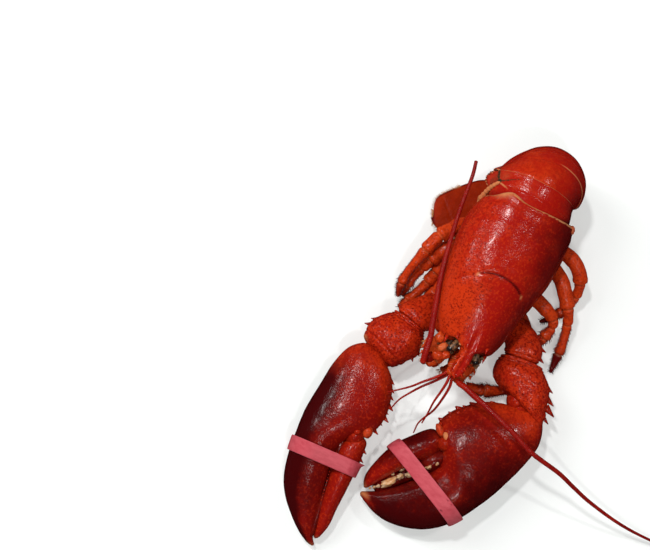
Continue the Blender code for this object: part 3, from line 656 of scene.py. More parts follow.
def build_tail():
    for i in range(6):
        start, end = BREAKS[i] - (1.6 if i else 6.0), BREAKS[i + 1] + (0.9 if i < 5 else 0.0)

        def surface(turn, share):
            distance = start + (end - start) * share
            half, thickness = tail_size(min(max(distance, BREAKS[0]), BREAKS[-1]))
            half -= 0.45 * max(0.0, 3.0 - distance)
            a = TAU * turn - pi / 2
            edge, into = (1 - share) * (end - start), share * (end - start)
            lift = -0.7 * (1 - step(0.0, 3.0, into)) + 0.28 * step(0, 1, 1 - min(1.0, edge / 3.0))
            lift -= 0.9 * (1 - step(0.0, 0.7, edge)) + 1.7 * (1 - step(-4.0, 9.0, distance))
            lift -= 0.30 * bell(into - (18.5 if i == 2 else 7.0), 0.8) * (i in (2, 3, 4))
            point = tail_place(distance, a, half, thickness, lift * (sin(a) > -0.3))
            point.x += 3.2 * step(0.1, 0.9, cos(a)) * (1 - step(4, 22, distance))
            _, out, across = tail_frame(distance)
            lobe = sin(pi * min(1.0, share) ** 1.5) * SIDE_LOBES[i]
            lobe *= 0.12 if cos(a) > 0 else 1.0
            from_side = min(abs(a), abs(a - pi))
            point += (across * cos(a) * 0.75 - out * 0.8) * lobe * bell(from_side, 0.17)
            return point + (point - Vector((4, 0, 33))).normalized() * 0.3 * relief(point, 11.0, 5.0 + i)

        def paint(turn, share, point):
            a = TAU * turn - pi / 2
            c, s = cos(a), sin(a)
            edge, into = (1 - share) * (end - start), share * (end - start)
            # The -X side is a little more orange, and the +X side and the far end, where the tail curls down,
            # are darker: partly the shell's own colour, partly painted light and shade.
            warm = 0.14 + 0.12 * step(0.0, 0.8, -c)
            # A broad orange band along the top of the later rings is a painted sheen.
            warm += 0.50 * bell(c + 0.10, 0.40) * (i >= 2) * (1 - step(4, 16, point.y))
            dark = 0.10 + 0.55 * step(0.15, 0.95, c) + 0.30 * step(14, 30, point.y)
            dark += 0.25 * (i < 2) * step(0.5, 1, c)
            pale = 0.85 * (1 - step(0.4, 0.9, edge)) * (i < 5) * (0.7 + 0.4 * relief(point, 9.0, 2.0))
            pale += 0.25 * (1 - step(1.2, 2.6, into)) * (i > 0)
            pale += 0.18 * step(0.93, 1.0, -c) * (s > -0.3) * (i < 4)
            pale += 0.26 * bell(point.x + 18, 5) * bell(point.y + 7, 5) * (i < 3)
            pale += 0.75 * bell(into - 19.4, 0.45) * (i == 2) * step(-0.2, 0.2, c)
            # Near-black painted shade along the -X edge of the first rings, and in the torn creases below.
            painted_shade = 0.55 * bell(c + 0.98, 0.12) * (i < 4) * step(-0.2, 0.3, relief(point, 5.0, 8.0))
            if i < 3 and c < 0 < s:
                light, crease_shade = crease_paint(point)
                pale, painted_shade = pale + light, min(1.0, painted_shade + crease_shade)
            if i in (1, 2, 3, 4):
                warm += 0.15 * bell(c + 0.6, 0.3)
                dark += 0.5 * bell(min(abs(a), abs(a - pi)), 0.06)
            if s < -0.25:
                warm, dark, pale, painted_shade = 0.8, 0.0, 0.35, 0.0
            return (warm, dark, min(1.0, pale), painted_shade)

        bm = bend_grid(surface, 170, ROWS_ALONG[i], paint)
        piece_from(bm, f"tail_ring_{i + 1}", tail_shell, [f"tail_segment_{i + 1}"], smooth=60)


def leaf(root, tip, width, normal, thickness):
    """A flat pointed flap from root to tip."""
    line = tip - root
    along, face = line.normalized(), normal.normalized()
    across = along.cross(face).normalized()

    def surface(turn, share):
        a = TAU * turn
        profile = (1 - share**1.8) ** 0.9 * (0.8 + 0.35 * sin(pi * min(1, share * 1.4)))
        curve = face * (-1.2 * share * share)
        return (root + line * share + across * cos(a) * width * profile
                + face * sin(a) * thickness * (1 - 0.7 * share) + curve)

    return surface


FAN = (
    # node, root x, root y, heading in degrees, length, half width, height, slant of the far edge
    ("telson", -4.0, -5.6, -12, 30.0, 11.5, 4.0, 0.0),
    ("uropod_inner_right", -12.0, -7.0, -30, 37.0, 10.5, 6.6, 0.1),
    ("uropod_outer_right", -15.6, -9.2, -49, 41.0, 12.8, 9.0, 0.10),
    ("uropod_inner_left", 5.0, -7.0, 4, 34.0, 10.5, 1.4, -0.1),
    ("uropod_outer_left", 8.5, -6.4, 20, 34.0, 11.5, 6.6, -0.25),
)
BLADE = [(0.0, 0.42), (0.15, 0.66), (0.4, 0.93), (0.62, 1.0), (0.8, 0.97), (0.93, 0.86), (1.0, 0.78)]
FRINGE_PER_MM = 6.5
SHOULDER = [(0.0, 1.15), (0.15, 1.25), (0.4, 1.22), (0.62, 1.12), (0.8, 1.0), (0.93, 0.86), (1.0, 0.78)]


def build_tail_fan():
    hairs = []
    for name, x, y, heading, length, half, lift, slant in FAN:
        across = flat_axis(heading)
        along = Vector((across.y, -across.x, 0))
        root = Vector((x, y, lift))
        broad = SHOULDER if name == "uropod_outer_right" else BLADE

        def edge(share, c):
            width = table_at(broad if c < 0 else BLADE, share)[0] * half * rounded(share, 0.0, 0.16)
            return root + along * (length * share + slant * c * half * share) + across * c * width

        def surface(turn, share):
            a = TAU * turn
            c, s = cos(a), sin(a)
            ridge = 0.55 * bell(c, 0.10) + 0.3 * bell(c - 0.45, 0.08) + 0.3 * bell(c + 0.45, 0.08)
            seam = 0.2 * bell((share - 0.74 + 0.05 * c) * length, 0.6)
            thick = (1.0 - 0.45 * share) * 0.9 * abs(s) + (ridge * (1 - share * 0.6) - seam) * (s > 0) * abs(s)
            thick *= rounded(share, 0.0, 0.06)
            point = edge(share, signed_power(c, 0.8))
            point.z += copysign(thick, s) + 0.8 * relief(point, 16.0, 2.0) * share
            return point

        def paint(turn, share, point):
            c = cos(TAU * turn)
            rim = max(step(0.88, 0.97, abs(c)), step(0.95, 0.99, share))
            return (0.45 * (1 - rim), 0.12 + 0.7 * rim, 0.0, 0.0)

        bm = bend_grid(surface, 64, 60, paint)
        piece_from(bm, name.replace("uropod", "fan_blade").replace("telson", "fan_middle"), fan_shell,
                   [name])
        count = int(length * FRINGE_PER_MM)
        for k in range(count):
            f = (k + pick.random()) / count * 2 - 1
            share = 1 - max(0.0, abs(f) - 0.32) / 0.68 * 0.55
            c = max(-1.0, min(1.0, f / 0.32)) if abs(f) < 0.32 else copysign(1.0, f)
            here = edge(min(share, 0.985), c * 0.98)
            away = (along * (0.9 if abs(f) < 0.4 else 0.45) + across * c * 0.8).normalized()
            grow = pick.uniform(0.9, 2.0)
            bend = Vector((pick.uniform(-0.4, 0.4), pick.uniform(-0.4, 0.4), pick.uniform(-0.3, 0.3)))
            hairs.append([(here - away * 0.6, 0.14), (here + away * grow * 0.5 + bend * 0.3, 0.11),
                          (here + away * grow + bend, 0.04)])
    strands("fan_fringe", hairs, tan_hair)


# ------------------------------------------------------------------ claws

CRUSHER_PALM = [
    (-3.5, -13.0, 1.5, 6.5), (0.0, -15.0, 3.0, 8.5), (6.0, -20.5, 6.5, 11.5), (14.0, -25.0, 12.5, 14.5),
    (24.0, -29.2, 18.0, 17.0), (36.0, -33.2, 20.2, 18.4), (48.0, -36.4, 19.8, 18.6), (55.0, -37.8, 15.5, 18.0),
    (59.5, -38.6, 2.5, 17.2), (64.0, -39.2, -4.8, 16.2), (74.0, -39.7, -7.4, 14.6), (86.0, -37.6, -7.4, 12.6),
    (97.0, -32.2, -6.2, 10.4), (106.0, -24.6, -4.4, 8.0), (111.5, -16.4, -2.2, 5.6), (115.2, -5.6, -0.4, 2.6),
]
CRUSHER_FINGER = [
    (55.5, 5.0, 14.0, 8.0), (58.0, 3.0, 15.4, 10.0), (63.0, 1.0, 16.6, 11.6), (72.0, 0.4, 17.0, 12.4),
    (82.0, 0.8, 16.8, 11.6), (92.0, 0.6, 14.2, 10.0), (101.0, -0.4, 10.4, 7.8), (107.5, -0.8, 6.6, 5.4),
    (111.2, -0.9, 2.0, 2.6),
]
CUTTER_PALM = [
    (-3.5, -10.0, 5.0, 6.4), (0.0, -12.2, 6.5, 8.0), (6.0, -16.4, 11.8, 10.6), (14.0, -20.0, 17.4, 13.2),
    (24.0, -23.0, 20.0, 15.2), (36.0, -26.2, 20.0, 16.2), (46.0, -28.6, 16.4, 16.2), (50.5, -29.2, 11.0, 15.8),
    (54.5, -29.6, 4.6, 15.2), (60.0, -29.9, -1.4, 14.4), (74.0, -30.6, -3.4, 12.4), (88.0, -29.4, -3.6, 10.2),
    (100.0, -24.8, -3.4, 8.0), (110.0, -17.8, -3.0, 6.0), (118.0, -10.2, -2.0, 3.8), (123.4, -3.2, 1.0, 1.6),
]
CUTTER_FINGER = [
    (51.5, 4.0, 12.0, 6.5), (54.0, 2.6, 13.4, 8.4), (60.0, -1.6, 13.2, 9.8), (70.0, -2.9, 12.2, 10.2),
    (84.0, -3.2, 9.8, 9.0), (98.0, -3.1, 7.2, 7.2), (109.0, -2.7, 5.4, 5.0), (118.6, -1.8, 1.0, 2.2),
]


class ClawAxes:
    """A claw's own axes: distance from the wrist, inward across the claw, and up."""

    def __init__(self, wrist, tip, inward_sign, rise):
        self.wrist = Vector(wrist)
        self.along = Vector((tip[0] - wrist[0], tip[1] - wrist[1], 0)).normalized()
        self.inward = Vector((self.along.y, -self.along.x, 0)) * inward_sign
        self.slope = atan2(self.along.y, self.along.x)
        self.rise = rise

    def point(self, distance, inward, up):
        flat = self.wrist + self.along * distance + self.inward * inward
        return Vector((flat.x, flat.y, max(0.0, table_at(self.rise, distance)[0] + up)))

    def read(self, point):
        away = point - self.wrist
        return away.dot(self.along), away.dot(self.inward)


CRUSHER = ClawAxes((60.0, -122.0, 0), (-13.0, -210.0, 0), 1,
                   [(0, 20.0), (14, 18.6), (30, 17.8), (50, 17.9), (75, 17.8), (95, 13.8), (114.5, 10.0)])
CUTTER = ClawAxes((-44.0, -131.0, 0), (-23.0, -252.0, 0), -1,
                  [(0, 19.0), (14, 17.0), (30, 15.5), (46, 15.7), (70, 15.8), (100, 11.4), (122.8, 7.0)])


def claw_skin(axes, table, around, along, paint, caps, lumps=0.35, seed=0.0, ridge=0.0):
    first, last = table[0][0], table[-1][0]

    def surface(turn, share):
        d = first + (last - first) * share
        low, high, half = table_at(table, d)
        r = rounded(share, *caps)
        middle, reach = (low + high) / 2, (high - low) / 2 * r
        a = TAU * turn
        x, z = signed_power(cos(a), 0.92), signed_power(sin(a), 0.92)
        crest = 1 + 0.05 * sin(pi * (x * 0.5 + 0.5)) if z > 0 else 1.0
        up = z * half * r * crest + ridge * bell(x - 0.72, 0.16) * (z > 0)
        point = axes.point(d, middle + x * reach, up)
        lift = lumps * relief(point, 15.0, seed) + lumps * 0.4 * relief(point, 5.0, seed + 4)
        return point + Vector((0, 0, lift)) * abs(z) * (point.z > 1.0) + axes.inward * x * lift * 0.6

    return bend_grid(surface, around, along, lambda turn, share, point: paint(
        first + (last - first) * share, cos(TAU * turn), sin(TAU * turn)))


def crusher_palm_paint(d, x, z):
    warm = 0.55 * (1 - step(4, 36, d)) * step(-0.9, 0.3, x)
    warm += 0.28 * step(0.45, 0.95, x) * (1 - step(45, 70, d))
    dark = 0.18 + 0.44 * step(8, 40, d) * (1 - 0.50 * step(0.3, 1.0, x)) + 0.30 * step(-0.1, 0.9, -x)
    dark += 0.25 * step(60, 90, d) - 0.25 * bell(d - 62, 8) * step(-0.4, 0.8, x)
    pale = 0.9 * step(108, 114, d) * step(-0.4, 0.9, x) + 0.4 * bell(d - 58, 2.5) * step(0.7, 1.0, x)
    return (warm + 0.1, dark * (1 - 0.6 * step(108, 114, d)), pale, 0.0)


def crusher_finger_paint(d, x, z):
    warm = 0.5 * (1 - step(58, 66, d)) + 0.25 * step(0.0, 0.9, -x)
    dark = 0.40 + 0.40 * step(-0.6, 0.6, x) - 0.38 * step(82, 104, d)
    return (warm, dark, 0.5 * step(107, 111, d), 0.0)


def cutter_palm_paint(d, x, z):
    warm = 0.52 * (1 - step(4, 34, d)) + 0.24 * step(0.2, 0.9, x) * (1 - step(40, 70, d))
    dark = 0.14 + 0.24 * step(8, 45, d) + 0.62 * step(0.0, 0.75, -x) * step(2, 25, d)
    dark -= 0.16 * step(0.3, 1.0, x)
    dark += 0.26 * step(50, 72, d) + 0.06
    # The palm's inner edge beside the finger is darkened as painted shade in the gap.
    dark += 0.5 * step(0.90, 1.0, x) * step(56, 66, d) - 0.15 * step(85, 115, d)
    return (warm, dark, 0.4 * step(119, 123, d), 0.0)


def cutter_finger_paint(d, x, z):
    return (0.12 + 0.40 * (1 - step(55, 64, d)), 0.02 + 0.30 * step(0.6, 1.0, x), 0.3 * step(114, 118, d), 0.0)


def build_claws():
    warm, red = (0.85, 0.0, 0.25, 0.0), (0.45, 0.25, 0.0, 0.0)
    cream, dark_red = (0.6, 0.0, 0.95, 0.0), (0.35, 0.35, 0.0, 0.0)
    palm = claw_skin(CRUSHER, CRUSHER_PALM, 120, 170, crusher_palm_paint, (0.05, 0.02), 0.4, 1.0, 0.5)
    for d, size in ((9, 1.2), (14, 1.5), (19, 1.9), (24.5, 2.1), (30, 2.5), (35, 1.9), (39, 2.8), (45, 1.8),
                    (51.5, 2.4)):
        high, half = table_at(CRUSHER_PALM, d)[1:]
        root = CRUSHER.point(d, high - 1.4, 2.0 + pick.uniform(-1, 2))
        tip = root + CRUSHER.inward * size * 1.1 + CRUSHER.along * size * 0.7 + UP * 0.8
        prick(palm, root, tip, size * 0.8, red, 12, 0.25)
        beside = CRUSHER.point(d + 2.4, high - 2.6, half * 0.45)
        knob(palm, beside, (size * 0.5, size * 0.5, size * 0.4), red, 0, 0.3)
    for place, sizes, colour, uneven in (
            # the thumb's knuckles, then dark lumps filling the gap between the fingers: partly soft tissue,
            # partly painted shade
            ((56.0, 13.0, 9.0), (2.2, 4.4, 3.2), warm, 0.12),
            ((54.4, 8.0, 13.4), (2.0, 2.8, 1.6), (0.7, 0.0, 0.7, 0.0), 0.12),
            ((57.0, 4.5, 9.0), (4.5, 4.5, 6.5), (0.5, 0.35, 0.0, 0.0), 0.12),
            ((66.0, -2.0, 1.0), (12.0, 6.5, 8.0), (0.3, 0.75, 0.0, 0.0), 0.05),
            ((87.0, -2.6, -4.5), (20.0, 5.6, 6.5), (0.3, 0.7, 0.1, 0.0), 0.1)):
        knob(palm, CRUSHER.point(*place), sizes, colour, CRUSHER.slope, uneven)
    piece_from(palm, "crusher_hand", claw_shell, ["crusher_palm"])
    finger = claw_skin(CRUSHER, CRUSHER_FINGER, 72, 90, crusher_finger_paint, (0.08, 0.03), 0.3, 7.0)
    piece_from(finger, "crusher_thumb", claw_shell, ["crusher_finger"])

    palm = claw_skin(CUTTER, CUTTER_PALM, 112, 180, cutter_palm_paint, (0.05, 0.015), 0.35, 2.0, 0.4)
    for d, size in ((6, 1.2), (10, 1.8), (14.2, 2.4), (19.3, 2.2), (23.6, 2.2), (29.2, 2.9), (33.4, 1.6),
                    (36.8, 2.8), (41, 1.5), (46, 2.4)):
        high = table_at(CUTTER_PALM, d)[1]
        root = CUTTER.point(d, high - 1.4, 1.0)
        tip = root + CUTTER.inward * size * 1.45 + CUTTER.along * size * 0.95 + UP * 0.6
        prick(palm, root, tip, size * 0.68, red)
    for d in (12, 19, 27, 35):
        high, half = table_at(CUTTER_PALM, d)[1:]
        root = CUTTER.point(d, high - 4.6, half * 0.62)
        prick(palm, root, root + CUTTER.inward * 1.2 + UP * 1.6 + CUTTER.along * 1.0, 0.9, red)
    # Knuckles and a lump at the hinge, then dark lumps filling the gap between the fingers: partly soft tissue,
    # partly painted shade.
    for place, sizes, colour, heading, uneven in (
            ((50.5, 5.6, 11.5), (2.2, 2.0, 2.0), red, 0.2, 0.12),
            ((48.5, 11.5, 7.5), (3.4, 4.4, 4.0), warm, 0.2, 0.12),
            ((52.0, 5.0, 4.0), (8.0, 6.0, 8.0), (0.4, 0.4, 0.0, 0.0), CUTTER.slope, 0.05),
            ((66.0, -1.5, -1.0), (16.0, 4.0, 7.0), (0.3, 0.7, 0.0, 0.0), CUTTER.slope, 0.05),
            ((94.0, -3.1, -2.0), (25.0, 3.4, 5.6), (0.3, 0.75, 0.0, 0.0), CUTTER.slope, 0.04)):
        knob(palm, CUTTER.point(*place), sizes, colour, heading, uneven)
    piece_from(palm, "cutter_hand", claw_shell, ["cutter_palm"])
    finger = claw_skin(CUTTER, CUTTER_FINGER, 64, 100, cutter_finger_paint, (0.08, 0.03), 0.25, 9.0)
    for d in (60, 65.5):
        high = table_at(CUTTER_FINGER, d)[1]
        root = CUTTER.point(d, high - 0.8, 1.5)
        prick(finger, root, root + CUTTER.inward * 2.6 + CUTTER.along * 1.6, 1.3, red)
    piece_from(finger, "cutter_thumb", claw_shell, ["cutter_finger"])

    teeth = empty_piece()
    for d, inward, long, deep in (
            (66.0, -4.4, 1.4, 1.2), (71.2, -4.2, 2.4, 1.5), (76.6, -4.6, 2.0, 1.6), (82.6, -3.4, 3.0, 1.8),
            (88.6, -2.4, 2.2, 1.6), (96.3, -2.9, 5.4, 2.3), (103.0, -2.4, 1.3, 1.0), (105.4, -2.0, 1.2, 0.9),
            (108.0, -1.6, 0.9, 0.7)):
        half = table_at(CRUSHER_PALM, d)[2]
        sizes = (long, deep, half * 0.45)
        knob(teeth, CRUSHER.point(d, inward, half * 0.25), sizes, cream, CRUSHER.slope, 0.45)
    for d, long in ((70.0, 1.6), (75.0, 1.8), (80.0, 1.5), (86.0, 1.8), (92.0, 1.4)):
        low, _, half = table_at(CRUSHER_FINGER, d)
        sizes = (long, 1.1, half * 0.36)
        knob(teeth, CRUSHER.point(d, low + 0.1, half * 0.05), sizes, cream, CRUSHER.slope, 0.45)
    piece_from(teeth, "crusher_teeth", tooth)
    beads = empty_piece()
    for k in range(27):
        d = 66 + k * 1.95
        high, half = table_at(CUTTER_PALM, d)[1:]
        size = 0.42 + 0.26 * (k % 3 == 0)
        sizes = (size, size * 0.8, size)
        knob(beads, CUTTER.point(d, high + 0.15, half * 0.38), sizes, dark_red, CUTTER.slope, 0.2)
    piece_from(beads, "cutter_teeth", claw_shell)


def build_band(name, node, axes, parts, slant):
    """A stretched rubber band: it touches the claw only where the claw bulges furthest."""
    cloud = []
    for part in parts:
        for vert in bpy.data.objects[part].data.vertices:
            point = vert.co / MM
            cloud.append((*axes.read(point), point.z))
    turns, width = 110, 9.4
    lines = (-1.0, -0.5, 0.0, 0.5, 1.0)
    reach = {}
    for shift in lines:
        near = [(v, z) for d, v, z in cloud if abs(d - slant(v) - shift * width / 2) < 1.2]
        for k in range(turns):
            a = TAU * k / turns
            c, s = cos(a), sin(a)
            reach[shift, k] = max(near, key=lambda p: p[0] * c + p[1] * s)

    def surface(turn, share):
        k = round(turn * turns) % turns
        a = TAU * k / turns
        b = TAU * share
        shift, grow = signed_power(cos(b), 0.35), 0.95 + 0.6 * signed_power(sin(b), 0.5)
        v, z = table_at([(line, *reach[line, k]) for line in lines], shift)
        v, z = v + cos(a) * grow, z + sin(a) * grow
        flat = axes.wrist + axes.along * (slant(v) + shift * width / 2) + axes.inward * v
        return Vector((flat.x, flat.y, max(0.15, z)))

    bm = bend_grid(surface, turns, 28)
    piece_from(bm, name, rubber, [node])


# ------------------------------------------------------------------ arms

def lump(name, rows, node, paint, spines=(), lumps=0.35, caps=(0.10, 0.10), rings=(), detail=(84, 90)):
    """A short thick joint through oval sections: x, y, z, heading, half width, half height."""
    far = distances([Vector(row[:3]) for row in rows])
    table = [(d / far[-1], *row) for d, row in zip(far, rows)]

    def surface(turn, share):
        x, y, z, heading, half, rise = table_at(table, share)
        across = flat_axis(heading)
        a = TAU * turn
        r = rounded(share, *caps)
        point = (Vector((x, y, z)) + across * signed_power(cos(a), 0.9) * half * r
                 + UP * signed_power(sin(a), 0.9) * rise * r)
        out = point - Vector((x, y, z))
        if out.length > 0.01:
            lift = lumps * relief(point, 9.0, 3.0) + lumps * 0.5 * relief(point, 3.2, 6.0)
            lift -= sum(depth * bell((share - ring) * far[-1], 0.55) for ring, depth in rings)
            point = point + out.normalized() * lift * r
        return point

    bm = bend_grid(surface, detail[0], detail[1], lambda turn, share, point: paint(
        share, cos(TAU * turn), sin(TAU * turn)))
    for share, angle, size in spines:
        x, y, z, heading, half, rise = table_at(table, share)
        across = flat_axis(heading)
        a = radians(angle)
        out = across * cos(a) + UP * sin(a)
        further, nearer = [Vector(table_at(table, at)[:3]) for at in (min(1.0, share + 0.1), share - 0.1)]
        ahead = (further - nearer).normalized()
        root = Vector((x, y, z)) + across * cos(a) * (half - 0.9) + UP * sin(a) * (rise - 0.9)
        prick(bm, root, root + out * size * 1.25 + ahead * size * 0.8, size * 0.62, SPINE)
    piece_from(bm, name, arm_shell, [node])


def build_condyles():
    """The smooth knuckles that the hands turn on."""
    bm = empty_piece()
    for place, sizes, heading in (
            ((53.6, -125.4, 21.0), (6.4, 4.6, 7.0), -0.5), ((48.6, -120.4, 20.6), (6.4, 5.6, 8.0), -0.6),
            ((64.0, -121.0, 22.0), (4.6, 4.0, 5.0), -0.4), ((-32.4, -132.4, 18.0), (4.2, 3.8, 5.0), 0.2),
            ((-39.0, -134.0, 20.6), (5.4, 3.2, 4.4), -0.3)):
        knob(bm, Vector(place), sizes, (0.35, 0.30, 0.0, 0.0), heading, 0.1)
    piece_from(bm, "hand_knuckles", arm_shell)


def arm_paint(share, x, z):
    # Painted light and shade: the top is more orange and the flanks darker. The root end is pale.
    return (0.42 + 0.25 * z, 0.14 + 0.25 * step(0.4, 1.0, abs(x)), 0.35 * (1 - step(0.02, 0.05, share)), 0.0)


def wrist_left_paint(share, x, z):
    ring = bell(share - 0.10, 0.025)
    # The top is more orange as painted light.
    return (0.36 + 0.2 * z, 0.12 + 0.30 * step(0.72, 0.98, share) + 0.3 * ring, 0.12 * ring, 0.0)


def wrist_right_paint(share, x, z):
    ring = bell(share - 0.10, 0.025)
    tip = 0.6 * bell(share - 0.93, 0.05) * step(0.5, 0.9, x)
    dark = 0.10 + 0.45 * step(0.35, 0.95, -x) * step(0.5, 0.9, share) + 0.25 * ring
    return (0.50, dark, 0.12 * ring + tip, 0.0)


def arm_right_paint(share, x, z):
    return (0.62, 0.06, 0.0, 0.0)


def build_arms():
    lump("arm_base_left", [
        (10.4, -81.4, 12.6, 84, 5.0, 4.4), (17.0, -79.6, 12.0, 88, 6.4, 5.8),
        (23.4, -78.0, 13.0, 84, 6.6, 6.2),
    ], "arm_root_left", arm_paint, caps=(0.1, 0.2), detail=(48, 40))
    lump("upper_arm_left", [
        (22.6, -78.2, 13.4, 80, 6.0, 5.8), (28.6, -79.4, 15.0, 64, 8.0, 7.2),
        (34.6, -82.6, 17.6, 46, 10.0, 8.4), (38.6, -87.4, 19.4, 28, 11.2, 9.0),
        (40.2, -92.0, 20.4, 12, 11.6, 8.8), (40.8, -96.4, 20.8, 6, 10.4, 7.6),
    ], "arm_left", arm_paint,
        [(0.55, 2, 2.4), (0.72, -2, 2.8), (0.86, 3, 2.4), (0.8, 60, 1.6), (0.66, 45, 1.4)],
        caps=(0.06, 0.05), rings=((0.90, 0.7), (0.95, 0.5)))
    lump("wrist_joint_left", [
        (41.4, -95.2, 21.0, 6, 12.4, 9.0), (42.6, -101.0, 21.4, 8, 15.4, 11.8),
        (45.8, -107.2, 21.6, 8, 17.4, 13.4), (49.0, -113.6, 21.4, 0, 17.2, 13.0),
        (52.6, -119.8, 20.8, -12, 15.8, 11.8), (58.0, -124.8, 20.2, -24, 13.4, 9.8),
    ], "wrist_left", wrist_left_paint,
        [(0.36, 4, 2.8), (0.50, -4, 3.8), (0.62, 6, 4.4), (0.74, -6, 3.2), (0.42, 40, 1.6),
         (0.58, 48, 1.8), (0.30, 172, 1.4), (0.46, 176, 1.6), (0.62, 172, 1.4), (0.5, 120, 1.2),
         (0.34, 80, 1.0), (0.66, 96, 1.2)],
        lumps=0.75, caps=(0.045, 0.07), rings=((0.075, 0.8), (0.125, 0.7)), detail=(120, 120))
    lump("arm_base_right", [
        (-13.6, -79.0, 14.6, 104, 4.8, 4.2), (-17.4, -81.6, 13.4, 116, 6.0, 5.4),
        (-20.6, -85.2, 12.8, 130, 6.6, 6.0),
    ], "arm_root_right", arm_paint, caps=(0.1, 0.2), detail=(48, 40))
    lump("upper_arm_right", [
        (-19.8, -84.4, 13.0, 134, 6.0, 5.8), (-22.2, -88.8, 14.2, 144, 8.4, 7.6),
        (-24.4, -94.0, 16.0, 152, 10.2, 8.6), (-28.0, -99.6, 18.0, 160, 11.6, 8.8),
        (-30.2, -104.6, 19.0, 166, 10.6, 7.6),
    ], "arm_right", arm_right_paint, [(0.7, 178, 1.8), (0.84, 4, 1.6)],
        caps=(0.06, 0.05), rings=((0.90, 0.7), (0.95, 0.5)))
    lump("wrist_joint_right", [
        (-30.2, -103.6, 19.2, 168, 10.8, 7.8), (-31.6, -109.6, 19.8, 168, 14.4, 11.6),
        (-34.0, -116.4, 20.0, 166, 17.0, 13.2), (-36.8, -122.6, 20.0, 163, 16.4, 13.0),
        (-39.2, -128.0, 19.6, 159, 14.2, 11.4), (-40.8, -132.2, 19.0, 158, 11.6, 8.6),
    ], "wrist_right", wrist_right_paint,
        [(0.4, 178, 2.4), (0.55, 184, 2.2), (0.45, 4, 2.0), (0.62, -2, 2.4), (0.5, 120, 1.2), (0.36, 70, 1.2)],
        lumps=0.75, caps=(0.045, 0.09), rings=((0.075, 0.8), (0.125, 0.7), (0.80, 0.7)), detail=(120, 120))


# ------------------------------------------------------------------ legs

def hip(side, y):
    return trunk(side * 15.6, y, -2.2)


LEGS = (
    # name, side, place along the trunk, centreline, knee, pincer
    ("leg_5_left", 1, -17.0, (
        (26, -29, 22), (35, -24.5, 25), (44, -27, 26), (50, -31.5, 24.5), (53.6, -36, 20.5),
        (55.4, -41, 15.5), (55.4, -46, 10.5), (53.6, -52, 6.6), (50, -59, 4.6), (43, -66, 4.4)), 5, False),
    ("leg_4_left", 1, -27.0, (
        (24, -43, 18), (33, -35.5, 22), (41.5, -40.5, 25), (47, -47, 25.4), (53, -54, 22),
        (56.4, -58.6, 18), (59.4, -66, 12), (61.4, -75, 8), (62, -82, 5.4), (62.6, -92, 2.6)), 5, False),
    ("leg_3_left", 1, -37.0, (
        (24, -57, 17), (33, -58, 22), (41, -61, 23), (48, -64, 20), (50, -69, 16), (48.6, -75, 12),
        (47, -82, 8)), 4, True),
    ("leg_2_left", 1, -47.0, (
        (22, -67, 12), (32, -70, 6.4), (42, -82, 3.9), (48, -98, 3.4), (46, -110, 3.6), (38, -117, 5.0),
        (27, -122, 7), (17, -124, 7)), 4, True),
    ("leg_5_right", -1, -17.0, (
        (-21, -37, 22), (-27.6, -36, 26), (-33, -43, 27.6), (-37, -49.4, 27.6), (-39.6, -55.4, 26),
        (-41.4, -62, 24), (-43.6, -70.6, 20.4), (-45.4, -79, 15.6), (-45.4, -86, 11),
        (-44, -92, 7)), 4, False),
    ("leg_4_right", -1, -27.0, (
        (-21, -50, 19), (-27.6, -50, 20.6), (-31.6, -56, 20.4), (-35.4, -63.6, 16.6), (-39, -72, 12),
        (-41.6, -81, 8), (-42, -90, 4.6)), 4, False),
    ("leg_3_right", -1, -37.0, (
        (-21, -58, 16), (-26, -60, 15), (-29, -68, 10.6), (-32, -78, 6.4), (-36, -88, 4.2),
        (-39.6, -98, 2.8)), 3, True),
    ("leg_2_right", -1, -47.5, (
        (-21.0, -69, 12.6), (-23.6, -74, 6), (-25, -84, 3.4), (-25, -96, 3.2), (-24, -106, 3.2),
        (-21, -115, 3.2)), 3, True),
)
BRISTLE_GAP, BRISTLE_ROWS = 1.15, (10, 38, 142, 170, 205, 335)
LEG_WIDTHS = [
    (0.0, 3.2), (0.1, 3.5), (0.3, 3.9), (0.5, 3.8), (0.62, 3.0), (0.75, 2.7), (0.86, 3.0), (0.92, 2.3),
    (1.0, 0.9),
]


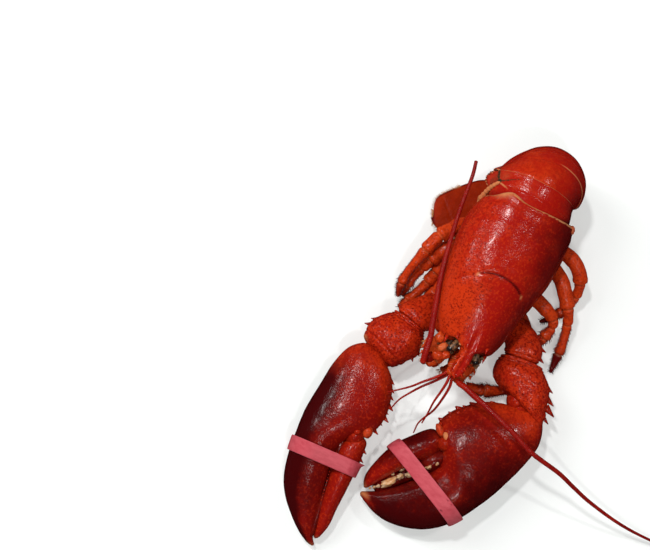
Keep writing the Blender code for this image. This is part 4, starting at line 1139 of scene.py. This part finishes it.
def build_legs():
    bristles = []
    for name, side, y, points, knee, pincer in LEGS:
        line = [hip(side, y)] + [Vector(p) for p in points]
        path, run = Path(line, 240), distances(line)
        bend = run[knee] / run[-1]
        joints = [0.10, bend, bend + (1 - bend) * 0.26, 0.87]
        length = path.length

        def radius(share):
            r = table_at(LEG_WIDTHS, share)[0] * (1.0 + 0.16 * (share < joints[1]))
            if pincer:
                r *= 1 + 0.25 * step(joints[2], 0.9, share)
            for joint in joints:
                away = (share - joint) * length
                r *= 1 - 0.20 * bell(away, 0.7)
                r *= 1 + 0.13 * bell(away + 2.2, 1.8) + 0.05 * bell(away - 2.0, 1.5)
            return r * (1 + 0.05 * noise.noise(Vector((share * length / 3.0, joints[1] * 40, 0))))

        def paint(share, turn, point):
            near = sum(bell((share - joint) * length, 1.0) for joint in joints)
            near_wide = sum(bell((share - joint) * length + 2.5, 3.2) for joint in joints[1:])
            # The upper side is more orange as painted light.
            warm = 0.60 + 0.30 * near_wide + 0.15 * sin(TAU * turn)
            tip_dark = 0.15 if pincer else 0.95 if side > 0 else 0.4
            dark = 0.08 + tip_dark * step(0.80, 0.93, share) + 0.15 * step(0.62, 0.8, share)
            return (warm, dark, min(0.5, 0.35 * near), 0.0)

        part = 1.2 / length
        upper = tube(path, radius, 26, 110, paint, 0.0, bend + part, caps=(0.04, 0.02))
        piece_from(upper, f"{name}_thigh", leg_shell, [f"{name}_upper"])
        lower = tube(path, radius, 26, 130, paint, bend - part, 1.0, caps=(0.02, 0.02))
        if pincer:
            place, _, across, _ = path.at(0.885)
            root, tip = place + across * 1.5, path.at(0.985)[0]
            prick(lower, root, tip + across * 2.4, 1.7, (0.6, 0.2, 0.0, 0.0), 14, 0.3)
        for share, angle in ((bend - 0.02, 20), (bend - 0.02, 160), (bend + 0.2 * (1 - bend), 30)):
            place, ahead, across, rise = path.at(share)
            out = across * cos(radians(angle)) + rise * sin(radians(angle))
            prick(lower, place + out * 2.6, place + out * 4.6 + ahead * 1.6, 0.8, (0.2, 0.7, 0.0, 0.0))
        piece_from(lower, f"{name}_shin", leg_shell, [f"{name}_lower"])
        first = bend + (1 - bend) * 0.30
        for angle in BRISTLE_ROWS:
            count = int((1 - first) * length / BRISTLE_GAP)
            for k in range(count):
                share = first + (1 - first) * (k + 0.3 + 0.4 * pick.random()) / count * 0.98
                place, ahead, across, rise = path.at(share)
                a = radians(angle + pick.uniform(-9, 9))
                out = across * cos(a) + rise * sin(a)
                r = radius(share)
                grow = pick.uniform(0.9, 1.7) * (0.7 + (0.9 if pincer else 0.5) * step(0.6, 0.85, share))
                lean = (out * 0.9 + ahead * 0.75).normalized()
                here = place + out * (r - 0.25)
                if here.z + lean.z * grow > 0.2:
                    bristles.append([(here, 0.22), (here + lean * grow * 0.55, 0.15),
                                     (here + lean * grow, 0.05)])
    strands("leg_bristles", bristles, dark_hair)


# ------------------------------------------------------------------ feelers and mouth

def whip(name, node, points, root_radius, tip_radius, rings, warm=0.3):
    """A long feeler with fine rings along it."""
    path = Path(points, 400)

    def radius(share):
        r = root_radius + (tip_radius - root_radius) * share
        return r * (1 + 0.05 * sin(TAU * share * path.length / 1.3))

    def paint(share, turn, point):
        return (warm + 0.3 * (1 - step(0, 0.08, share)), 0.15 + 0.25 * share, 0.0, 0.0)

    bm = tube(path, radius, 12, rings, paint, caps=(0.01, 0.004))
    piece_from(bm, name, feeler_shell, [node])


def stalk(name, node, points, widths, flat, joints, material, tint):
    """A short jointed stalk."""
    path = Path(points, 80)

    def radius(share):
        r = table_at(widths, share)[0]
        for joint in joints:
            r *= 1 - 0.25 * bell((share - joint) * path.length, 0.6)
            r *= 1 + 0.08 * bell((share - joint) * path.length + 1.6, 1.2)
        return r

    # The tint grows more orange towards the top as painted light.
    bm = tube(path, radius, 36, 60, lambda share, turn, point: (
        tint[0] + 0.2 * sin(TAU * turn), tint[1],
        min(1.0, tint[2] + sum(0.5 * bell((share - joint) * path.length, 0.7) for joint in joints)), tint[3]),
        flat=flat, caps=(0.06, 0.06))
    piece_from(bm, name, material, [node])
    return path


def build_head():
    hairs = []
    for side, word in ((1, "left"), (-1, "right")):
        # The eye on its stalk, in its dark socket.
        eye = trunk(HEAD_MIDDLE + side * 8.6, -90.4, 30.2)
        bm = empty_piece()
        knob(bm, eye, (2.1, 2.4, 2.1), NO_TINT, side * 0.5, 0.06)
        piece_from(bm, f"eye_ball_{word}", eye_gloss, [f"eye_{word}"])
        line = [trunk(HEAD_MIDDLE + side * 6.0, -84.5, 29.4), trunk(HEAD_MIDDLE + side * 7.6, -88.0, 30.4), eye]
        bm = tube(Path(line, 30), lambda share: 1.7 + 0.5 * share, 20, 20,
                  lambda share, turn, point: (0.7, 0.1, 0.3, 0.25))
        knob(bm, trunk(HEAD_MIDDLE + side * 8.5, -87.5, 21.5), (6.0, 5.4, 4.0), NO_TINT, 0.0, 0.5)
        for k in range(26):
            spot = trunk(HEAD_MIDDLE + side * pick.uniform(3.6, 13.0), -86.4 - pick.uniform(0, 6.5),
                         pick.uniform(24.0, 29.0))
            knob(bm, spot, (pick.uniform(0.5, 1.5), pick.uniform(0.6, 1.8), pick.uniform(0.5, 1.3)),
                 (0.7, 0.0, 0.45, 0.5), pick.random() * 3, 0.4)
        piece_from(bm, f"eye_socket_{word}", green_gut)

    for word, line, (middle, end, last), tint in (
            ("right", ((-5.8, -88.6, 20.4), (-8.6, -97.0, 21.4), (-12.8, -105.0, 21.4)),
             (4.5, 3.4, 2.6), (0.65, 0.05, 0.0, 0.0)),
            ("left", ((8.2, -88.6, 19.4), (9.0, -98.0, 21.4), (7.8, -106.6, 24.2)),
             (4.3, 3.2, 2.4), (0.5, 0.15, 0.0, 0.0))):
        stalk(f"feeler_base_{word}", f"antenna_base_{word}", [trunk(*place) for place in line],
              [(0.0, 3.4), (0.3, 4.6), (0.62, middle), (0.85, end), (1.0, last)], 0.95, (0.34, 0.68),
              head_shell, tint)
    lobes = empty_piece()
    for place, sizes, heading, colour in (
            ((-6.6, -113.4, 45.0), (2.3, 3.3, 2.2), -0.5, (0.95, 0.0, 0.38, 0.0)),
            ((-10.6, -108.6, 43.0), (3.2, 3.4, 3.0), 0.3, (0.95, 0.0, 0.12, 0.0)),
            ((-7.2, -119.2, 43.5), (3.8, 2.8, 2.6), 0.2, (0.45, 0.25, 0.0, 0.0)),
            ((-11.6, -121.8, 41.0), (3.6, 3.0, 3.2), 0.0, (0.10, 0.65, 0.0, 0.0)),
            ((-3.2, -116.6, 43.5), (2.4, 3.0, 2.4), -0.4, (0.55, 0.15, 0.1, 0.0)),
            ((1.4, -107.6, 51.2), (1.0, 1.3, 0.8), 0.2, (0.9, 0.0, 1.0, 0.0))):
        knob(lobes, Vector(place), sizes, colour, heading, 0.35)
    piece_from(lobes, "feeler_joint_lobes", head_shell)
    right = (
        (-13.0, -124.6, 42.2), (-13.4, -126, 44.4), (-14.8, -119, 46.8), (-16, -111, 47),
        (-18.4, -103, 47), (-21.6, -92, 47), (-25, -80, 47.6), (-28, -67, 48.6), (-30, -56, 49.6),
        (-32, -44, 50), (-33.5, -32, 50), (-34.5, -22, 50), (-35.5, -12, 50), (-37.4, -3, 50))
    left = (
        (9.4, -126.2, 41.4), (11.0, -128.0, 42.4), (15, -129, 44.4), (21, -131, 45), (34, -135, 47),
        (49, -140, 47), (66, -146, 44), (87, -149, 36), (99, -152, 30), (112, -155, 24), (136, -158, 14),
        (158, -158, 6), (180, -156, 2))
    whip("feeler_right", "antenna_right", right, 1.95, 1.1, 420)
    whip("feeler_left", "antenna_left", left, 1.9, 0.7, 640)
    stalk("small_feeler_base", "antennule_base",
          [trunk(1.6, -88.0, 22.4), trunk(1.8, -96.0, 25.0), trunk(1.4, -104.4, 29.4)],
          [(0.0, 3.2), (0.5, 3.6), (1.0, 3.0)], 0.75, (0.4, 0.72), head_shell,
          (0.5, 0.15, 0.0, 0.0))
    threads = (
        ("outer_right", (
            (1.8, -125.0, 42.4), (1.2, -126.6, 42.6), (-3.4, -132, 42), (-8.4, -137, 41), (-13, -142, 39),
            (-19, -147, 36), (-24, -151, 34))),
        ("inner_right", (
            (3.0, -125.4, 41.0), (2.6, -127.0, 40.6), (-2, -133, 39), (-8, -140, 37), (-13, -147, 34),
            (-16, -152, 31), (-18, -159, 28))),
        ("inner_left", (
            (4.4, -125.6, 42.4), (4.4, -127.2, 42.2), (4.6, -131, 42), (4, -137, 39), (3, -144, 36),
            (3, -151, 31), (2.6, -158, 27))),
        ("outer_left", (
            (6.0, -125.6, 41.0), (6.4, -127.4, 40.4), (7.4, -132, 39), (7, -139, 36), (5.4, -148, 31),
            (1, -158, 24), (1, -165, 20))),
    )
    for word, points in threads:
        whip(f"small_feeler_{word}", f"antennule_{word}", points, 0.95, 0.4, 220, warm=0.45)

    for side, word in ((1, "left"), (-1, "right")):
        root, tip = trunk(side * 13.4, -87.6, 16.4), trunk(side * 14.2, -105.0, 16.6)
        surface = leaf(root, tip, 4.6, trunk(0, 0, 1) - trunk(0, 0, 0) + Vector((side * 0.3, 0, 0)), 1.2)
        bm = bend_grid(surface, 36, 40, lambda turn, share, point: (
            0.95 - 0.2 * share, 0.15 * step(0.85, 1, share), 0.15, 0.0))
        prick(bm, tip - (tip - root) * 0.14, tip + (tip - root) * 0.04, 0.9, (0.4, 0.4, 0, 0))
        for out, far in ((2.6, 0.62), (-2.4, 0.70), (3.4, 0.40)):
            notch = root + (tip - root) * far + Vector((out * side, 0, 0.4))
            point = notch + (tip - root) * 0.16 + Vector((out * 0.35 * side, 0, 0))
            prick(bm, notch, point, 1.1, (0.8, 0.1, 0.1, 0.0))
        piece_from(bm, f"scale_{word}", head_shell, [f"antennal_scale_{word}"])
        for k in range(70):
            share = 0.25 + 0.72 * pick.random()
            turn = 0.0 if pick.random() < 0.5 else 0.5
            here = surface(turn, share)
            middle = (surface(0.0, share) + surface(0.5, share)) / 2
            away = ((here - middle).normalized() + (tip - root).normalized() * 0.9).normalized()
            grow = pick.uniform(1.4, 2.6)
            hairs.append([(here - away * 0.3, 0.15), (here + away * grow * 0.6, 0.10),
                          (here + away * grow, 0.04)])
        path = stalk(
            f"jaw_leg_{word}", f"mouth_leg_{word}",
            [trunk(side * 4.0, -86.0, 1.5), trunk(side * 5.0, -93.0, 6.5), trunk(side * 5.0, -98.0, 10.0),
             trunk(side * 3.8, -101.5, 6.0), trunk(side * 3.0, -101.5, 0.0)],
            [(0.0, 2.4), (0.4, 2.8), (0.8, 2.1), (1.0, 1.2)], 1.0, (0.3, 0.55, 0.78),
            leg_shell, (0.5, 0.25, 0.0, 0.0))
        for k in range(70):
            share = 0.3 + 0.68 * pick.random()
            place, ahead, across, rise = path.at(share)
            out = (across * -side + rise * pick.uniform(-0.6, 0.6)).normalized()
            here = place + out * 1.8
            hairs.append([(here, 0.15), (here + out * 1.2 + ahead * 0.5, 0.1),
                          (here + out * 2.2 + ahead * 1.2, 0.04)])
    strands("head_hair", hairs, tan_hair)


# ------------------------------------------------------------------ the set

LAMP_AIM = Vector((0.02, -0.1, 0.0))


def build_set():
    floor = Finish("pale_tray")
    cloud = floor.noise(9.0, 3.0)
    floor.set(base_color=floor.mix((0.56, 0.575, 0.565), (0.62, 0.63, 0.62), cloud), roughness=0.75)
    floor.shader.inputs["Emission Color"].default_value = (0.98, 1.0, 0.98, 1.0)
    floor.shader.inputs["Emission Strength"].default_value = 0.34
    bm = bmesh.new()
    bmesh.ops.create_grid(bm, x_segments=1, y_segments=1, size=2.0)
    mesh = bpy.data.meshes.new("tray")
    bm.to_mesh(mesh)
    bm.free()
    tray = bpy.data.objects.new("tray", mesh)
    tray.data.materials.append(floor.material)
    bpy.context.scene.collection.objects.link(tray)
    tray.visible_glossy = False

    scene = bpy.context.scene
    world = bpy.data.worlds.new("soft_room")
    world.use_nodes = True
    world.node_tree.nodes["Background"].inputs[0].default_value = (1.0, 1.0, 1.0, 1.0)
    world.node_tree.nodes["Background"].inputs[1].default_value = 0.18
    scene.world = world
    world.cycles_visibility.glossy = False
    scene.view_settings.view_transform = "Standard"

    for name, place, size, power, shines in (
            ("window", (-0.75, 0.02, 0.85), 0.45, 4.8, False),
            ("ceiling_lamp_left", (-0.38, 0.10, 1.05), 0.08, 5.2, True),
            ("ceiling_lamp_right", (0.427, 0.348, 1.0), 0.05, 2.2, True),
            ("far_left_lamp", (-0.90, 0.00, 0.70), 0.10, 1.6, True),
            ("near_lamp", (0.231, -0.549, 1.08), 0.045, 2.2, True),
            ("fill", (0.10, -0.75, 1.0), 0.6, 2.2, False)):
        data = bpy.data.lights.new(name, "AREA")
        data.shape = "DISK"
        data.size, data.energy = size, power
        lamp = bpy.data.objects.new(name, data)
        lamp.location = place
        lamp.rotation_euler = (LAMP_AIM - Vector(place)).to_track_quat("-Z", "Y").to_euler()
        lamp.visible_glossy = shines
        scene.collection.objects.link(lamp)

    camera = bpy.data.objects.new("camera", bpy.data.cameras.new("camera"))
    camera.data.lens = 60.0
    place, aim = Vector((-0.0381, -0.2065, 0.6828)), Vector((-0.0918, -0.0988, 0.0))
    ahead = (aim - place).normalized()
    across = ahead.cross(Vector((-0.4466, 0.8947, 0.0))).normalized()
    turn = Matrix((across, across.cross(ahead), -ahead)).transposed().to_4x4()
    camera.matrix_world = Matrix.Translation(place) @ turn
    scene.collection.objects.link(camera)
    scene.camera = camera


build_carapace()
build_soft_bits()
build_breastplate()
build_tail()
build_tail_fan()
build_claws()
build_band("crusher_band", "band_crusher", CRUSHER, ("crusher_hand", "crusher_thumb"),
           lambda v: 70.0 + (v + 39.0) * 0.25)
build_band("cutter_band", "band_cutter", CUTTER, ("cutter_hand", "cutter_thumb"),
           lambda v: 67.5 + (v + 32.5) * 0.11)
build_arms()
build_condyles()
build_legs()
build_head()
build_set()
